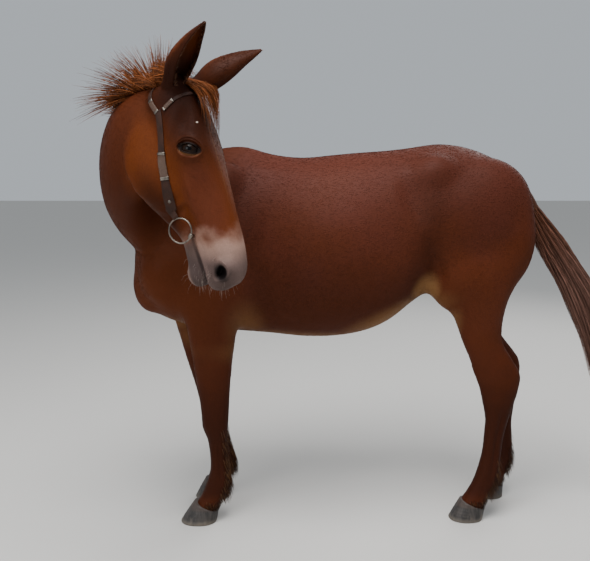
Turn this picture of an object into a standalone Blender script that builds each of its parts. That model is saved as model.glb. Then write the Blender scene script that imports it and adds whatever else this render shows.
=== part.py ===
"""Life-size standing mule in a bridle: a still model with its head turned back over its left shoulder.

Metres, +Z up. The mule faces -X and its left side is towards -Y. All of it is laid out around the middle of
the barrel, and the finished nodes are then moved so that the origin is under the middle of their box.
"""

import math
import random

import bmesh
import bpy
import numpy as np
from mathutils import Matrix, Vector
from mathutils.bvhtree import BVHTree

# Driving sizes
GAP = 0.0003
BODY_VOXEL = 0.012
WHOLE_VOXEL = 0.0055
BODY_TRIANGLES = 4600
FRONT_TRIANGLES = 2300
EYE_RADIUS = 0.0290
RING_RADIUS = 0.0405
RING_WIRE = 0.0030
BIT_RADIUS = 0.0060
SLEEVE_WALL = 0.0040
CHEEKPIECE_WIDTHS = (0.024, 0.032)
CROWN_WIDTH = 0.016
BROW_WIDTH = 0.010
STRAP_GAP = 0.0024
STRAP_LOW = 0.0008
STRAP_HIGH = 0.0048
WRAP_EXTRA = 0.0045
KEEPER_EXTRA = 0.0070

# The head's own frame: a place on it is (along, deep, side), from the poll down the face, in from the line of
# the face, and out to the mule's right
POLL = Vector((-0.3075, -0.531, 1.693))
HEAD_YAW = math.radians(71.6)
HEAD_PITCH = math.radians(18.0)
FACING = Vector((math.sin(HEAD_YAW), -math.cos(HEAD_YAW), 0))
HEAD_ALONG = FACING * math.sin(HEAD_PITCH) - Vector((0, 0, math.cos(HEAD_PITCH)))
HEAD_OUT = FACING * math.cos(HEAD_PITCH) + Vector((0, 0, math.sin(HEAD_PITCH)))
HEAD_RIGHT = HEAD_ALONG.cross(HEAD_OUT)
ACROSS = Vector((0, 1, 0))

# Each torso station: x, top, bottom, height of the widest line, half width, power of the curve above
# and below
TORSO = (
    (-0.640, 1.12, 0.97, 1.05, 0.070, 2.0, 2.0),
    (-0.600, 1.22, 0.885, 1.05, 0.145, 2.0, 2.0),
    (-0.520, 1.34, 0.825, 1.04, 0.200, 2.0, 2.1),
    (-0.400, 1.445, 0.790, 1.06, 0.232, 1.8, 2.1),
    (-0.290, 1.510, 0.778, 1.09, 0.240, 1.6, 2.1),
    (-0.200, 1.520, 0.772, 1.09, 0.245, 1.6, 2.2),
    (-0.090, 1.486, 0.764, 1.09, 0.258, 1.8, 2.2),
    (0.030, 1.471, 0.752, 1.08, 0.276, 2.1, 2.2),
    (0.160, 1.483, 0.754, 1.08, 0.288, 2.2, 2.2),
    (0.280, 1.493, 0.776, 1.09, 0.288, 2.2, 2.2),
    (0.380, 1.500, 0.822, 1.11, 0.276, 2.2, 2.2),
    (0.470, 1.512, 0.895, 1.16, 0.262, 2.2, 2.1),
    (0.560, 1.525, 0.950, 1.20, 0.262, 2.1, 2.1),
    (0.660, 1.515, 0.960, 1.22, 0.262, 2.0, 2.1),
    (0.760, 1.480, 0.975, 1.22, 0.245, 2.0, 2.1),
    (0.850, 1.425, 1.010, 1.22, 0.205, 2.0, 2.1),
    (0.905, 1.375, 1.070, 1.22, 0.135, 2.0, 2.0),
    (0.935, 1.330, 1.150, 1.24, 0.060, 2.0, 2.0),
)

# Each neck station: centre, half depth from crest to throat, half width
NECK = (
    ((-0.240, 0.000, 1.190), 0.290, 0.150),
    ((-0.390, -0.010, 1.240), 0.265, 0.146),
    ((-0.508, -0.065, 1.290), 0.226, 0.128),
    ((-0.580, -0.170, 1.350), 0.194, 0.110),
    ((-0.596, -0.300, 1.420), 0.172, 0.100),
    ((-0.552, -0.410, 1.490), 0.157, 0.092),
    ((-0.465, -0.470, 1.555), 0.142, 0.084),
    ((-0.385, -0.502, 1.605), 0.100, 0.068),
)

# Each limb station: height, x of the middle, half length, half width, side (1 is out from the middle line)
FORELIMB = (
    (1.060, -0.400, 0.130, 0.075, 0.150),
    (0.930, -0.350, 0.125, 0.072, 0.152),
    (0.840, -0.326, 0.106, 0.066, 0.150),
    (0.740, -0.325, 0.089, 0.059, 0.142),
    (0.640, -0.325, 0.076, 0.052, 0.137),
    (0.530, -0.322, 0.063, 0.046, 0.134),
    (0.450, -0.320, 0.056, 0.046, 0.132),
    (0.400, -0.320, 0.053, 0.046, 0.132),
    (0.350, -0.314, 0.040, 0.037, 0.131),
    (0.290, -0.311, 0.036, 0.030, 0.131),
    (0.230, -0.307, 0.038, 0.031, 0.130),
    (0.175, -0.310, 0.048, 0.038, 0.130),
    (0.125, -0.324, 0.053, 0.037, 0.130),
    (0.095, -0.342, 0.050, 0.040, 0.130),
    (0.070, -0.359, 0.049, 0.045, 0.130),
    (0.025, -0.380, 0.049, 0.046, 0.130),
)
HINDLIMB = (
    (1.200, 0.700, 0.205, 0.085, 0.140),
    (1.100, 0.695, 0.200, 0.092, 0.150),
    (1.000, 0.695, 0.168, 0.088, 0.152),
    (0.915, 0.706, 0.124, 0.076, 0.145),
    (0.830, 0.722, 0.094, 0.062, 0.135),
    (0.750, 0.741, 0.081, 0.050, 0.127),
    (0.680, 0.778, 0.086, 0.046, 0.121),
    (0.620, 0.806, 0.095, 0.044, 0.117),
    (0.560, 0.818, 0.081, 0.045, 0.115),
    (0.490, 0.818, 0.064, 0.042, 0.113),
    (0.430, 0.816, 0.049, 0.037, 0.112),
    (0.350, 0.806, 0.041, 0.032, 0.111),
    (0.280, 0.800, 0.041, 0.031, 0.110),
    (0.220, 0.792, 0.046, 0.035, 0.110),
    (0.165, 0.779, 0.049, 0.038, 0.110),
    (0.110, 0.752, 0.050, 0.038, 0.110),
    (0.072, 0.730, 0.052, 0.044, 0.110),
    (0.025, 0.710, 0.052, 0.045, 0.110),
)

# Each hoof: middle and half length at the ground, middle and half length of the coronet, its height,
# half widths
HOOVES = {
    "fore": (-0.395, 0.073, -0.361, 0.049, 0.068, 0.058, 0.047),
    "hind": (0.703, 0.068, 0.731, 0.050, 0.066, 0.054, 0.045),
}
CORONET_SLOPE = 0.40

# Limbs: where each foot stands to the side, and how far its x is off the table's at the ground and per
# metre up
LIMBS = {
    "foreleg_left": (FORELIMB, "fore", -0.130, 0.0, 0.0),
    "foreleg_right": (FORELIMB, "fore", 0.090, 0.030, -0.165),
    "hindleg_left": (HINDLIMB, "hind", -0.110, 0.0, 0.0),
    "hindleg_right": (HINDLIMB, "hind", 0.100, 0.145, -0.128),
}

# Thin cuts that part the animal: a point and the direction square to the cut
NECK_BASE_CUT = (Vector((-0.50, -0.05, 1.30)), Vector((-0.75, -0.30, 0.59)))
NECK_MIDDLE_CUT = (Vector((-0.593, -0.270, 1.400)), Vector((0.10, -0.86, 0.50)))
FORELEG_CUT = (Vector((-0.33, 0, 0.765)), Vector((0.176, 0, 0.984)))
HINDLEG_CUT = (Vector((0.70, 0, 0.93)), Vector((-0.371, 0, 0.928)))
HEAD_CUT = (Vector((-0.449, -0.483, 1.704)), Vector((0.75, -0.60, -0.30)))

# Bodies inside the trunk on both sides: middle (side is out), radii, lean in the side view
BODY_MASSES = (
    ((-0.370, 0.140, 1.210), (0.125, 0.085, 0.280), 30),
    ((-0.500, 0.135, 1.020), (0.110, 0.085, 0.125), 0),
    ((-0.330, 0.150, 1.000), (0.140, 0.080, 0.170), 0),
    ((-0.570, 0.055, 0.975), (0.080, 0.080, 0.125), 0),
    ((0.530, 0.140, 1.375), (0.130, 0.090, 0.110), 0),
    ((0.720, 0.120, 1.280), (0.195, 0.115, 0.195), 0),
    ((0.795, 0.125, 1.150), (0.135, 0.095, 0.200), 0),
    ((0.625, 0.150, 1.020), (0.120, 0.085, 0.150), 0),
)
WITHERS = ((-0.30, 0, 1.440), (0.17, 0.060, 0.070))

# Forms raised or sunk on the trunk, on both sides: middle (side is out), radii, turn in the side view, height
BODY_FORMS = (
    ((-0.330, 0.190, 1.260), (0.110, 0.120, 0.270), 28, 0.016),
    ((-0.500, 0.185, 1.060), (0.110, 0.120, 0.120), 0, 0.020),
    ((-0.285, 0.190, 0.960), (0.110, 0.110, 0.160), -15, 0.018),
    ((-0.180, 0.230, 1.100), (0.060, 0.100, 0.220), 18, -0.010),
    ((-0.560, 0.080, 0.960), (0.100, 0.070, 0.120), 0, 0.018),
    ((0.520, 0.215, 1.430), (0.110, 0.110, 0.090), -20, 0.009),
    ((0.430, 0.260, 1.330), (0.070, 0.090, 0.160), -18, -0.016),
    ((0.700, 0.180, 1.300), (0.160, 0.130, 0.170), 0, 0.014),
    ((0.840, 0.130, 1.190), (0.110, 0.110, 0.180), 12, 0.020),
    ((0.620, 0.200, 1.040), (0.110, 0.110, 0.140), -20, 0.022),
    ((0.520, 0.220, 1.080), (0.045, 0.100, 0.160), -25, -0.012),
    ((0.760, 0.160, 0.980), (0.060, 0.110, 0.160), 10, -0.008),
    ((0.140, 0.270, 1.150), (0.200, 0.120, 0.220), 0, 0.008),
    ((-0.090, 0.100, 1.470), (0.120, 0.090, 0.050), 0, -0.010),
)

# Forms on the head, on both sides: along, deep, side, radii the same way round, turn, height
HEAD_FORMS = (
    (0.200, 0.050, 0.090, (0.050, 0.040, 0.050), 0, 0.018),
    (0.200, 0.085, 0.090, (0.050, 0.022, 0.040), 0, 0.008),
    (0.115, 0.050, 0.080, (0.060, 0.030, 0.040), -15, -0.010),
    (0.120, 0.100, 0.085, (0.060, 0.022, 0.050), -25, 0.006),
    (0.330, 0.105, 0.070, (0.110, 0.018, 0.040), -4, 0.009),
    (0.240, 0.235, 0.070, (0.120, 0.085, 0.060), 0, 0.008),
    (0.400, 0.150, 0.060, (0.080, 0.040, 0.050), 12, -0.007),
    (0.320, 0.060, 0.060, (0.100, 0.030, 0.050), 0, -0.004),
    (0.585, 0.070, 0.050, (0.045, 0.040, 0.040), 25, 0.012),
    (0.630, 0.115, 0.035, (0.035, 0.040, 0.050), 0, 0.008),
    (0.520, 0.110, 0.055, (0.050, 0.030, 0.040), 0, -0.004),
)

# Skull stations: along, line of the face, underside, half width, depth of the widest line
FACE = (
    (-0.030, 0.050, 0.150, 0.050, 0.090),
    (0.000, 0.022, 0.200, 0.075, 0.090),
    (0.060, 0.006, 0.215, 0.086, 0.090),
    (0.130, 0.000, 0.225, 0.094, 0.080),
    (0.200, -0.002, 0.230, 0.096, 0.075),
    (0.270, 0.000, 0.225, 0.082, 0.080),
    (0.340, 0.002, 0.205, 0.067, 0.090),
    (0.420, 0.006, 0.182, 0.058, 0.095),
    (0.500, 0.010, 0.165, 0.055, 0.095),
    (0.570, 0.020, 0.160, 0.058, 0.095),
    (0.620, 0.038, 0.155, 0.056, 0.100),
    (0.650, 0.070, 0.140, 0.038, 0.105),
)
# Lower jaw stations, from the cheeks to the chin: along, top, underside, half width
JAW = (
    (0.100, 0.140, 0.290, 0.062),
    (0.200, 0.130, 0.312, 0.076),
    (0.290, 0.130, 0.306, 0.072),
    (0.370, 0.130, 0.262, 0.054),
    (0.450, 0.135, 0.221, 0.040),
    (0.520, 0.135, 0.222, 0.037),
    (0.580, 0.140, 0.228, 0.032),
)
# Bodies on the head: along, deep, side, radii the same way round
HEAD_MASSES = (
    (0.195, 0.205, 0.058, (0.145, 0.108, 0.030)),
    (0.588, 0.085, 0.034, (0.050, 0.040, 0.027)),
    (0.605, 0.130, 0.022, (0.045, 0.035, 0.032)),
    (0.622, 0.120, 0.000, (0.036, 0.050, 0.045)),
    (0.578, 0.200, 0.000, (0.048, 0.040, 0.037)),
)

# The ears by side: root and tip on the head, the side out, and which way the opening looks.
# The left one is turned further forward. Then the cup from root to tip (share of its length, half width, half
# depth, half angle of the opening, how far its middle is to the front) and the root (distance, radius).
EARS = {
    "right": (1, (-0.008, 0.076, 0.044), (-0.110, -0.145, 0.160), (0.60, 0.35, 0.10)),
    "left": (-1, (0.002, 0.050, 0.050), (-0.062, -0.187, 0.150), (0.80, 0.20, 1.00)),
}
EAR_CUP = (
    (0.00, 0.031, 0.028, 0.50, -0.002),
    (0.12, 0.042, 0.036, 0.70, -0.006),
    (0.28, 0.048, 0.040, 0.90, -0.009),
    (0.46, 0.045, 0.036, 1.05, -0.009),
    (0.66, 0.034, 0.027, 1.20, -0.007),
    (0.83, 0.022, 0.016, 1.25, -0.003),
    (0.95, 0.010, 0.007, 1.20, 0.000),
    (1.00, 0.004, 0.003, 1.10, 0.000),
)
EAR_ROOT = ((0.000, 0.022), (0.020, 0.029), (0.050, 0.029), (0.072, 0.016))
EAR_START = 0.036
EAR_WALL = 0.0045
EAR_SIDES = 8

# Eyes, nostrils and mouth on the head
EYE_PLACE = (0.200, 0.063, 0.0675)
NOSTRIL = (
    (0.594, 0.093, 0.060, (0.019, 0.010, 0.022)),
    (0.580, 0.080, 0.060, (0.014, 0.006, 0.012)),
)
MOUTH = (
    (0.447, 0.159, 0.0006),
    (0.480, 0.161, 0.0014),
    (0.530, 0.163, 0.0018),
    (0.580, 0.165, 0.0020),
    (0.630, 0.168, 0.0026),
    (0.690, 0.172, 0.0050),
)
SLIT_HALF = 0.0290
LID_RISE = 0.0180
LID_FALL = 0.0135
MOUTH_CORNER = (0.455, 0.159)
RING_MIDDLE = (0.428, 0.189)

# Tail: middle, half thickness in the side view, half thickness across
TAIL = (
    (0.860, 0.000, 1.345, 0.028, 0.030),
    (0.905, 0.000, 1.332, 0.036, 0.036),
    (0.945, 0.000, 1.268, 0.040, 0.040),
    (1.000, 0.000, 1.178, 0.047, 0.046),
    (1.065, 0.000, 1.078, 0.054, 0.051),
    (1.133, 0.003, 0.975, 0.060, 0.054),
    (1.194, 0.010, 0.868, 0.062, 0.054),
    (1.243, 0.020, 0.755, 0.060, 0.050),
    (1.283, 0.030, 0.630, 0.054, 0.042),
    (1.310, 0.038, 0.500, 0.036, 0.028),
    (1.322, 0.040, 0.400, 0.006, 0.006),
)

TAIL_CORE_REACH = 0.45
TAIL_CORE_RINGS = 7
TAIL_LOCKS = 21
TAIL_LOCK_REACH = 0.72

# Locks: how wide one is at its root, where along it is widest and how wide its tip is, as shares of its width
LOCK_SHAPE = (0.70, 0.30, 0.06)
MANE_ROOTS = (Vector((-0.545, -0.430, 1.655)), Vector((-0.472, -0.468, 1.680)))
MANE_FAN = 22
MANE_CREST = {"neck_upper": (0.60, 0.78, 9, 4), "neck_lower": (0.29, 0.46, 7, 6)}
FORELOCK = 7

# Where the keepers are, as shares of the cheekpiece from its foot
KEEPER_SHARES = (0.40, 0.60)
# Straps through places on the right side of the head, the side out
CHEEKPIECE = (
    (0.376, 0.196, 0.075),
    (0.338, 0.185, 0.085),
    (0.260, 0.168, 0.095),
    (0.183, 0.155, 0.100),
    (0.127, 0.139, 0.100),
    (0.074, 0.128, 0.105),
)
CROWN = (
    (0.058, 0.130, 0.105),
    (0.016, 0.150, 0.100),
    (-0.022, 0.152, 0.085),
    (-0.050, 0.145, 0.055),
    (-0.062, 0.136, 0.000),
)
BROW = (
    (0.056, 0.104, 0.105),
    (0.040, 0.066, 0.100),
    (0.030, 0.030, 0.085),
    (0.026, 0.000, 0.050),
    (0.026, -0.006, 0.000),
)

COAT = (0.175, 0.047, 0.018)
DARK_COAT = (0.060, 0.020, 0.014)
HAIR = (0.150, 0.045, 0.022)
HORN = (0.050, 0.045, 0.042)
LEATHER = (0.070, 0.030, 0.016)
RAWHIDE = (0.420, 0.300, 0.190)
SILVER = (0.600, 0.600, 0.590)
EYE = (0.012, 0.008, 0.006)

# Colour, roughness and metallic of the nodes whose names start so
FINISHES = {
    "eye": (EYE, 0.1, 0.0),
    "hoof": (HORN, 0.5, 0.0),
    "tail": (HAIR, 0.6, 0.0),
    "foreleg": (DARK_COAT, 0.6, 0.0),
    "hindleg": (DARK_COAT, 0.6, 0.0),
    "cheekpiece": (LEATHER, 0.5, 0.0),
    "crownpiece": (LEATHER, 0.5, 0.0),
    "browband": (LEATHER, 0.5, 0.0),
    "wrap": (RAWHIDE, 0.6, 0.0),
    "keeper": (SILVER, 0.25, 1.0),
    "ring": (SILVER, 0.25, 1.0),
    "bit": (SILVER, 0.3, 1.0),
    "": (COAT, 0.6, 0.0),
}


def clear_scene():
    for found in list(bpy.data.objects):
        bpy.data.objects.remove(found)


def on_head(along, deep, side=0.0):
    """A place on the head as a point in the world."""
    return POLL + HEAD_ALONG * along - HEAD_OUT * deep + HEAD_RIGHT * side


def material(name, colour, roughness, metallic=0.0):
    made = bpy.data.materials.new(name)
    made.use_nodes = True
    shader = made.node_tree.nodes["Principled BSDF"]
    shader.inputs["Base Color"].default_value = (*colour, 1)
    shader.inputs["Roughness"].default_value = roughness
    shader.inputs["Metallic"].default_value = metallic
    made.diffuse_color = (*colour, 1)
    return made


def linked(name, mesh):
    made = bpy.data.objects.new(name, mesh)
    bpy.context.scene.collection.objects.link(made)
    return made


def from_bmesh(name, shape):
    mesh = bpy.data.meshes.new(name)
    shape.to_mesh(mesh)
    shape.free()
    return linked(name, mesh)


def between_stations(rows, count):
    """Catmull-Rom values at count even places along rows of numbers, both ends included."""
    table = np.array(rows, float)
    last = len(table) - 1
    found = []
    for place in np.linspace(0, last, count):
        i = min(int(place), last - 1)
        t = place - i
        before, start, end, after = (table[min(max(j, 0), last)] for j in (i - 1, i, i + 1, i + 2))
        bend = (2 * before - 5 * start + 4 * end - after) * t**2
        bend += (3 * start - before - 3 * end + after) * t**3
        found.append(0.5 * (2 * start + (end - before) * t + bend))
    return found


def oval(centre, across, up, half_across, half_up, half_down, power_up=2.0, power_down=2.0, sides=24):
    """A closed ring of points: a superellipse whose upper and lower halves may differ."""
    ring = []
    for i in range(sides):
        angle = 2 * math.pi * i / sides
        c, s = math.cos(angle), math.sin(angle)
        power = power_up if s >= 0 else power_down
        x = math.copysign(abs(c) ** (2 / power), c) * half_across
        y = math.copysign(abs(s) ** (2 / power), s) * (half_up if s >= 0 else half_down)
        ring.append(centre + across * x + up * y)
    return ring


def loft(rings, name="loft"):
    """A closed body through rings of the same number of points."""
    shape = bmesh.new()
    rows = [[shape.verts.new(p) for p in ring] for ring in rings]
    count = len(rows[0])
    for low, high in zip(rows, rows[1:]):
        for i in range(count):
            j = (i + 1) % count
            shape.faces.new((low[i], low[j], high[j], high[i]))
    shape.faces.new(rows[0])
    shape.faces.new(rows[-1])
    bmesh.ops.triangulate(shape, faces=shape.faces, quad_method="FIXED")
    bmesh.ops.recalc_face_normals(shape, faces=shape.faces)
    return from_bmesh(name, shape)


def ball(centre, radii, axes=None, segments=24, rings=14, name="ball"):
    """An ellipsoid with its three radii along axes, the world's if none are given."""
    shape = bmesh.new()
    bmesh.ops.create_uvsphere(shape, u_segments=segments, v_segments=rings, radius=1)
    turn = Matrix([list(a) for a in axes]).transposed() if axes else Matrix.Identity(3)
    place = Matrix.Translation(centre) @ turn.to_4x4() @ Matrix.Diagonal((*radii, 1))
    bmesh.ops.transform(shape, matrix=place, verts=shape.verts)
    bmesh.ops.recalc_face_normals(shape, faces=shape.faces)
    return from_bmesh(name, shape)


def head_ball(along, deep, side, radii, turn=0.0):
    """An ellipsoid on the head, its radii along the face, into it and across it, turned about the side axis."""
    spin = Matrix.Rotation(turn, 3, HEAD_RIGHT)
    return ball(on_head(along, deep, side), radii, (spin @ HEAD_ALONG, spin @ HEAD_OUT, HEAD_RIGHT))


def tube(points, radius, name="tube", sides=12, closed=False):
    """A round bar along points, its radius a number or one for each point."""
    radii = radius if isinstance(radius, (list, tuple)) else [radius] * len(points)
    rings = []
    last = len(points) - 1
    for i, point in enumerate(points):
        ahead = points[(i + 1) % len(points)] if closed else points[min(i + 1, last)]
        behind = points[i - 1] if closed else points[max(i - 1, 0)]
        heading = (ahead - behind).normalized()
        side = heading.cross(HEAD_RIGHT if abs(heading.dot(HEAD_RIGHT)) < 0.9 else HEAD_OUT).normalized()
        up = heading.cross(side)
        rings.append(oval(point, side, up, radii[i], radii[i], radii[i], sides=sides))
    return loft(rings, name)


def torus(centre, across, up, ring_radius, wire_radius, name, segments=20, sides=6):
    """A round wire bent into a ring in the plane of across and up."""
    shape = bmesh.new()
    out = across.cross(up)
    rows = []
    for i in range(segments):
        angle = 2 * math.pi * i / segments
        away = across * math.cos(angle) + up * math.sin(angle)
        middle = centre + away * ring_radius
        ring = oval(middle, away, out, wire_radius, wire_radius, wire_radius, sides=sides)
        rows.append([shape.verts.new(p) for p in ring])
    for i in range(segments):
        low, high = rows[i], rows[(i + 1) % segments]
        for j in range(sides):
            k = (j + 1) % sides
            shape.faces.new((low[j], low[k], high[k], high[j]))
    bmesh.ops.recalc_face_normals(shape, faces=shape.faces)
    return from_bmesh(name, shape)


def applied(obj):
    """The object with its modifiers made real."""
    bpy.context.view_layer.update()
    graph = bpy.context.evaluated_depsgraph_get()
    mesh = bpy.data.meshes.new_from_object(obj.evaluated_get(graph))
    obj.modifiers.clear()
    obj.data = mesh
    return obj


def joined(parts, name):
    """One object that holds the meshes of parts, which are removed."""
    shape = bmesh.new()
    for part in parts:
        shape.from_mesh(part.data)
    for part in parts:
        bpy.data.objects.remove(part)
    return from_bmesh(name, shape)


def fused(parts, name, voxel):
    """One closed body in place of parts that run into each other."""
    body = joined(parts, name)
    remesh = body.modifiers.new("Remesh", "REMESH")
    remesh.mode = "VOXEL"
    remesh.voxel_size = voxel
    return applied(body)


def read_points(mesh):
    points = np.empty(len(mesh.vertices) * 3)
    mesh.vertices.foreach_get("co", points)
    return points.reshape(-1, 3)


def write_points(mesh, points):
    mesh.vertices.foreach_set("co", points.ravel())
    mesh.update()


def soften(obj, rounds, back=0.50, weight=None):
    """Each vertex drawn towards its neighbours, and back again by a little less so that thickness stays."""
    mesh = obj.data
    points = read_points(mesh)
    edges = np.empty(len(mesh.edges) * 2, dtype=np.int64)
    mesh.edges.foreach_get("vertices", edges)
    first, second = edges.reshape(-1, 2).T
    count = len(points)
    shares = np.bincount(first, minlength=count) + np.bincount(second, minlength=count)
    pull = np.ones(count) if weight is None else weight(points)
    for turn in range(rounds * 2):
        step = 0.52 if turn % 2 == 0 else -back
        for axis in range(3):
            column = points[:, axis]
            total = np.bincount(first, column[second], count) + np.bincount(second, column[first], count)
            points[:, axis] = column + step * pull * (total / shares - column)
    write_points(mesh, points)
    return obj


def raise_form(points, normals, centre, radii, axes, height):
    """Points inside an ellipsoid moved along their normals, most at its middle and not at all at its edge."""
    away = (points - np.array(centre)) @ np.array([list(a) for a in axes]).T / np.array(radii)
    reach = np.clip(1 - (away**2).sum(axis=1), 0, 1) ** 2
    points += normals * (height * reach)[:, None]


def read_normals(mesh):
    normals = np.empty(len(mesh.vertices) * 3)
    mesh.vertices.foreach_get("normal", normals)
    return normals.reshape(-1, 3)


def thinned(obj, triangles):
    """obj with about that many triangles left, most of them where it curves."""
    obj.data.calc_loop_triangles()
    now = len(obj.data.loop_triangles)
    if now > triangles:
        decimate = obj.modifiers.new("Decimate", "DECIMATE")
        decimate.ratio = triangles / now
        decimate.use_collapse_triangulate = True
        applied(obj)
    return obj


def copied(obj, name):
    return linked(name, obj.data.copy())


def boolean(obj, others, operation, solver="EXACT"):
    """obj joined with or cut by the others, which are removed; its largest closed surface is kept."""
    group = bpy.data.collections.new("pieces")
    bpy.context.scene.collection.children.link(group)
    for other in others:
        bpy.context.scene.collection.objects.unlink(other)
        group.objects.link(other)
    modifier = obj.modifiers.new("Boolean", "BOOLEAN")
    modifier.operand_type = "COLLECTION"
    modifier.collection = group
    modifier.operation = operation
    modifier.solver = solver
    applied(obj)
    for other in others:
        bpy.data.objects.remove(other)
    bpy.data.collections.remove(group)
    return keep_largest(obj)


def keep_largest(obj):
    """obj with only its largest closed surface left."""
    shape = bmesh.new()
    shape.from_mesh(obj.data)
    seen, groups = set(), []
    for start in shape.verts:
        if start not in seen:
            groups.append(connected(start, seen))
    groups.sort(key=len, reverse=True)
    bmesh.ops.delete(shape, geom=[v for group in groups[1:] for v in group], context="VERTS")
    shape.to_mesh(obj.data)
    shape.free()
    return obj


def connected(start, seen):
    """The vertices that edges join to start, which are added to seen."""
    group, waiting = [], [start]
    seen.add(start)
    while waiting:
        vert = waiting.pop()
        group.append(vert)
        for edge in vert.link_edges:
            other = edge.other_vert(vert)
            if other not in seen:
                seen.add(other)
                waiting.append(other)
    return group


def sliced(obj, cuts, name, seed):
    """What of obj lies in front of every (point, normal) cut and hangs together near seed, its holes filled."""
    shape = bmesh.new()
    shape.from_mesh(obj.data)
    for point, normal in cuts:
        normal = normal.normalized()
        geometry = shape.verts[:] + shape.edges[:] + shape.faces[:]
        place = point + normal * GAP / 2
        made = bmesh.ops.bisect_plane(
            shape, geom=geometry, dist=1e-7, plane_co=place, plane_no=normal, clear_inner=True
        )
        rim = [e for e in made["geom_cut"] if isinstance(e, bmesh.types.BMEdge) and e.is_valid]
        filled = bmesh.ops.triangle_fill(shape, edges=rim, use_beauty=True, use_dissolve=False)
        for face in filled["geom"]:
            if isinstance(face, bmesh.types.BMFace):
                face.normal_update()
    start = min(shape.verts, key=lambda v: (v.co - seed).length_squared)
    kept = set()
    connected(start, kept)
    bmesh.ops.delete(shape, geom=[v for v in shape.verts if v not in kept], context="VERTS")
    bmesh.ops.triangulate(shape, faces=[f for f in shape.faces if len(f.verts) > 3])
    bmesh.ops.recalc_face_normals(shape, faces=shape.faces)
    return from_bmesh(name, shape)


def flipped(cut):
    return (cut[0], -cut[1])


# Trunk and neck


def torso_loft():
    rings = []
    for x, top, bottom, middle, half_width, power_up, power_down in between_stations(TORSO, 52):
        centre = Vector((x, 0, middle))
        across, up = Vector((0, 1, 0)), Vector((0, 0, 1))
        high, low = top - middle, middle - bottom
        rings.append(oval(centre, across, up, half_width, high, low, power_up, power_down, 40))
    return loft(rings)


def neck_rings():
    """The neck's rings, each square to the neck's line with its crest uppermost."""
    rows = between_stations([(*centre, depth, width) for centre, depth, width in NECK], 30)
    rings = []
    for i, row in enumerate(rows):
        before, after = rows[max(i - 1, 0)], rows[min(i + 1, len(rows) - 1)]
        heading = Vector(after[:3] - before[:3]).normalized()
        up = (Vector((0, 0, 1)) - heading * heading.z).normalized()
        across = heading.cross(up)
        rings.append(oval(Vector(row[:3]), across, up, row[4], row[3], row[3], 1.9, 2.2, 28))
    return rings


def leaned(degrees):
    """The world's directions leaned in the side view."""
    spin = Matrix.Rotation(math.radians(degrees), 3, Vector((0, 1, 0)))
    return [spin @ Vector(a) for a in ((1, 0, 0), (0, 1, 0), (0, 0, 1))]


def body_masses():
    """Bodies inside the trunk that carry its outline, on both sides."""
    made = [ball(Vector(WITHERS[0]), WITHERS[1])]
    for (x, out, z), radii, turn in BODY_MASSES:
        made.extend(ball(Vector((x, side * out, z)), radii, leaned(turn)) for side in (-1, 1))
    return made


def limb_loft(name):
    """A limb from inside the trunk to inside its hoof."""
    table, _, foot, off, slope = LIMBS[name]
    out = math.copysign(1, foot)
    low = table[-1][0]
    rings = []
    for z, x, half_x, half_y, side in between_stations(table, 50):
        share = min(max((z - low) / (0.9 - low), 0), 1)
        y = out * (abs(foot) * (1 - share) + side * share)
        lean = (off + slope * min(z, 0.95)) * min(max((1.15 - z) / 0.3, 0), 1)
        middle = Vector((x + lean, y, z))
        rings.append(oval(middle, Vector((1, 0, 0)), Vector((0, 1, 0)), half_x, half_y, half_y, 2.1, 2.1))
    return loft(rings)


def coronet(name):
    """The middle of a limb's coronet and the direction square to it."""
    _, kind, foot, off, slope = LIMBS[name]
    _, _, top_x, _, height, _, _ = HOOVES[kind]
    place = Vector((top_x + off + slope * height, foot, height))
    return place, Vector((CORONET_SLOPE, 0, 1)).normalized()


def hoof(name):
    """A hoof: flat underneath, narrowing to a coronet that drops towards the heel."""
    _, kind, foot, off, slope = LIMBS[name]
    low_x, low_half, top_x, top_half, height, low_wide, top_wide = HOOVES[kind]
    top_x += slope * height
    rings = []
    for share, inset in ((0.0, 0.003), (0.05, 0.0), (1.0, 0.0)):
        x = low_x + (top_x - low_x) * share + off
        half_x = low_half + (top_half - low_half) * share - inset
        half_y = low_wide + (top_wide - low_wide) * share - inset
        middle = Vector((x, foot, (height - GAP) * share))
        ring = oval(middle, Vector((1, 0, 0)), Vector((0, 1, 0)), half_x, half_y, half_y, 2.2, 2.2, 20)
        rings.append([p - Vector((0, 0, (p.x - x) * CORONET_SLOPE * share)) for p in ring])
    return loft(rings, "hoof_" + name)


# Head


def head_masses():
    """The skull, jaws, muzzle and lips as bodies that run into each other."""
    rings = []
    for along, top, under, half_width, widest in between_stations(FACE, 40):
        centre = on_head(along, widest)
        high, low = widest - top, under - widest
        rings.append(oval(centre, HEAD_RIGHT, HEAD_OUT, half_width, high, low, 2.4, 2.1, 32))
    made = [loft(rings)]
    rings = []
    for along, top, under, half_width in between_stations(JAW, 26):
        middle = (top + under) / 2
        centre = on_head(along, middle)
        rings.append(oval(centre, HEAD_RIGHT, HEAD_OUT, half_width, middle - top, under - middle, 2.4, 2.2))
    made.append(loft(rings))
    for along, deep, out, radii in HEAD_MASSES:
        made.extend(head_ball(along, deep, side * out, radii) for side in ((-1, 1) if out else (1,)))
    return made


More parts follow.
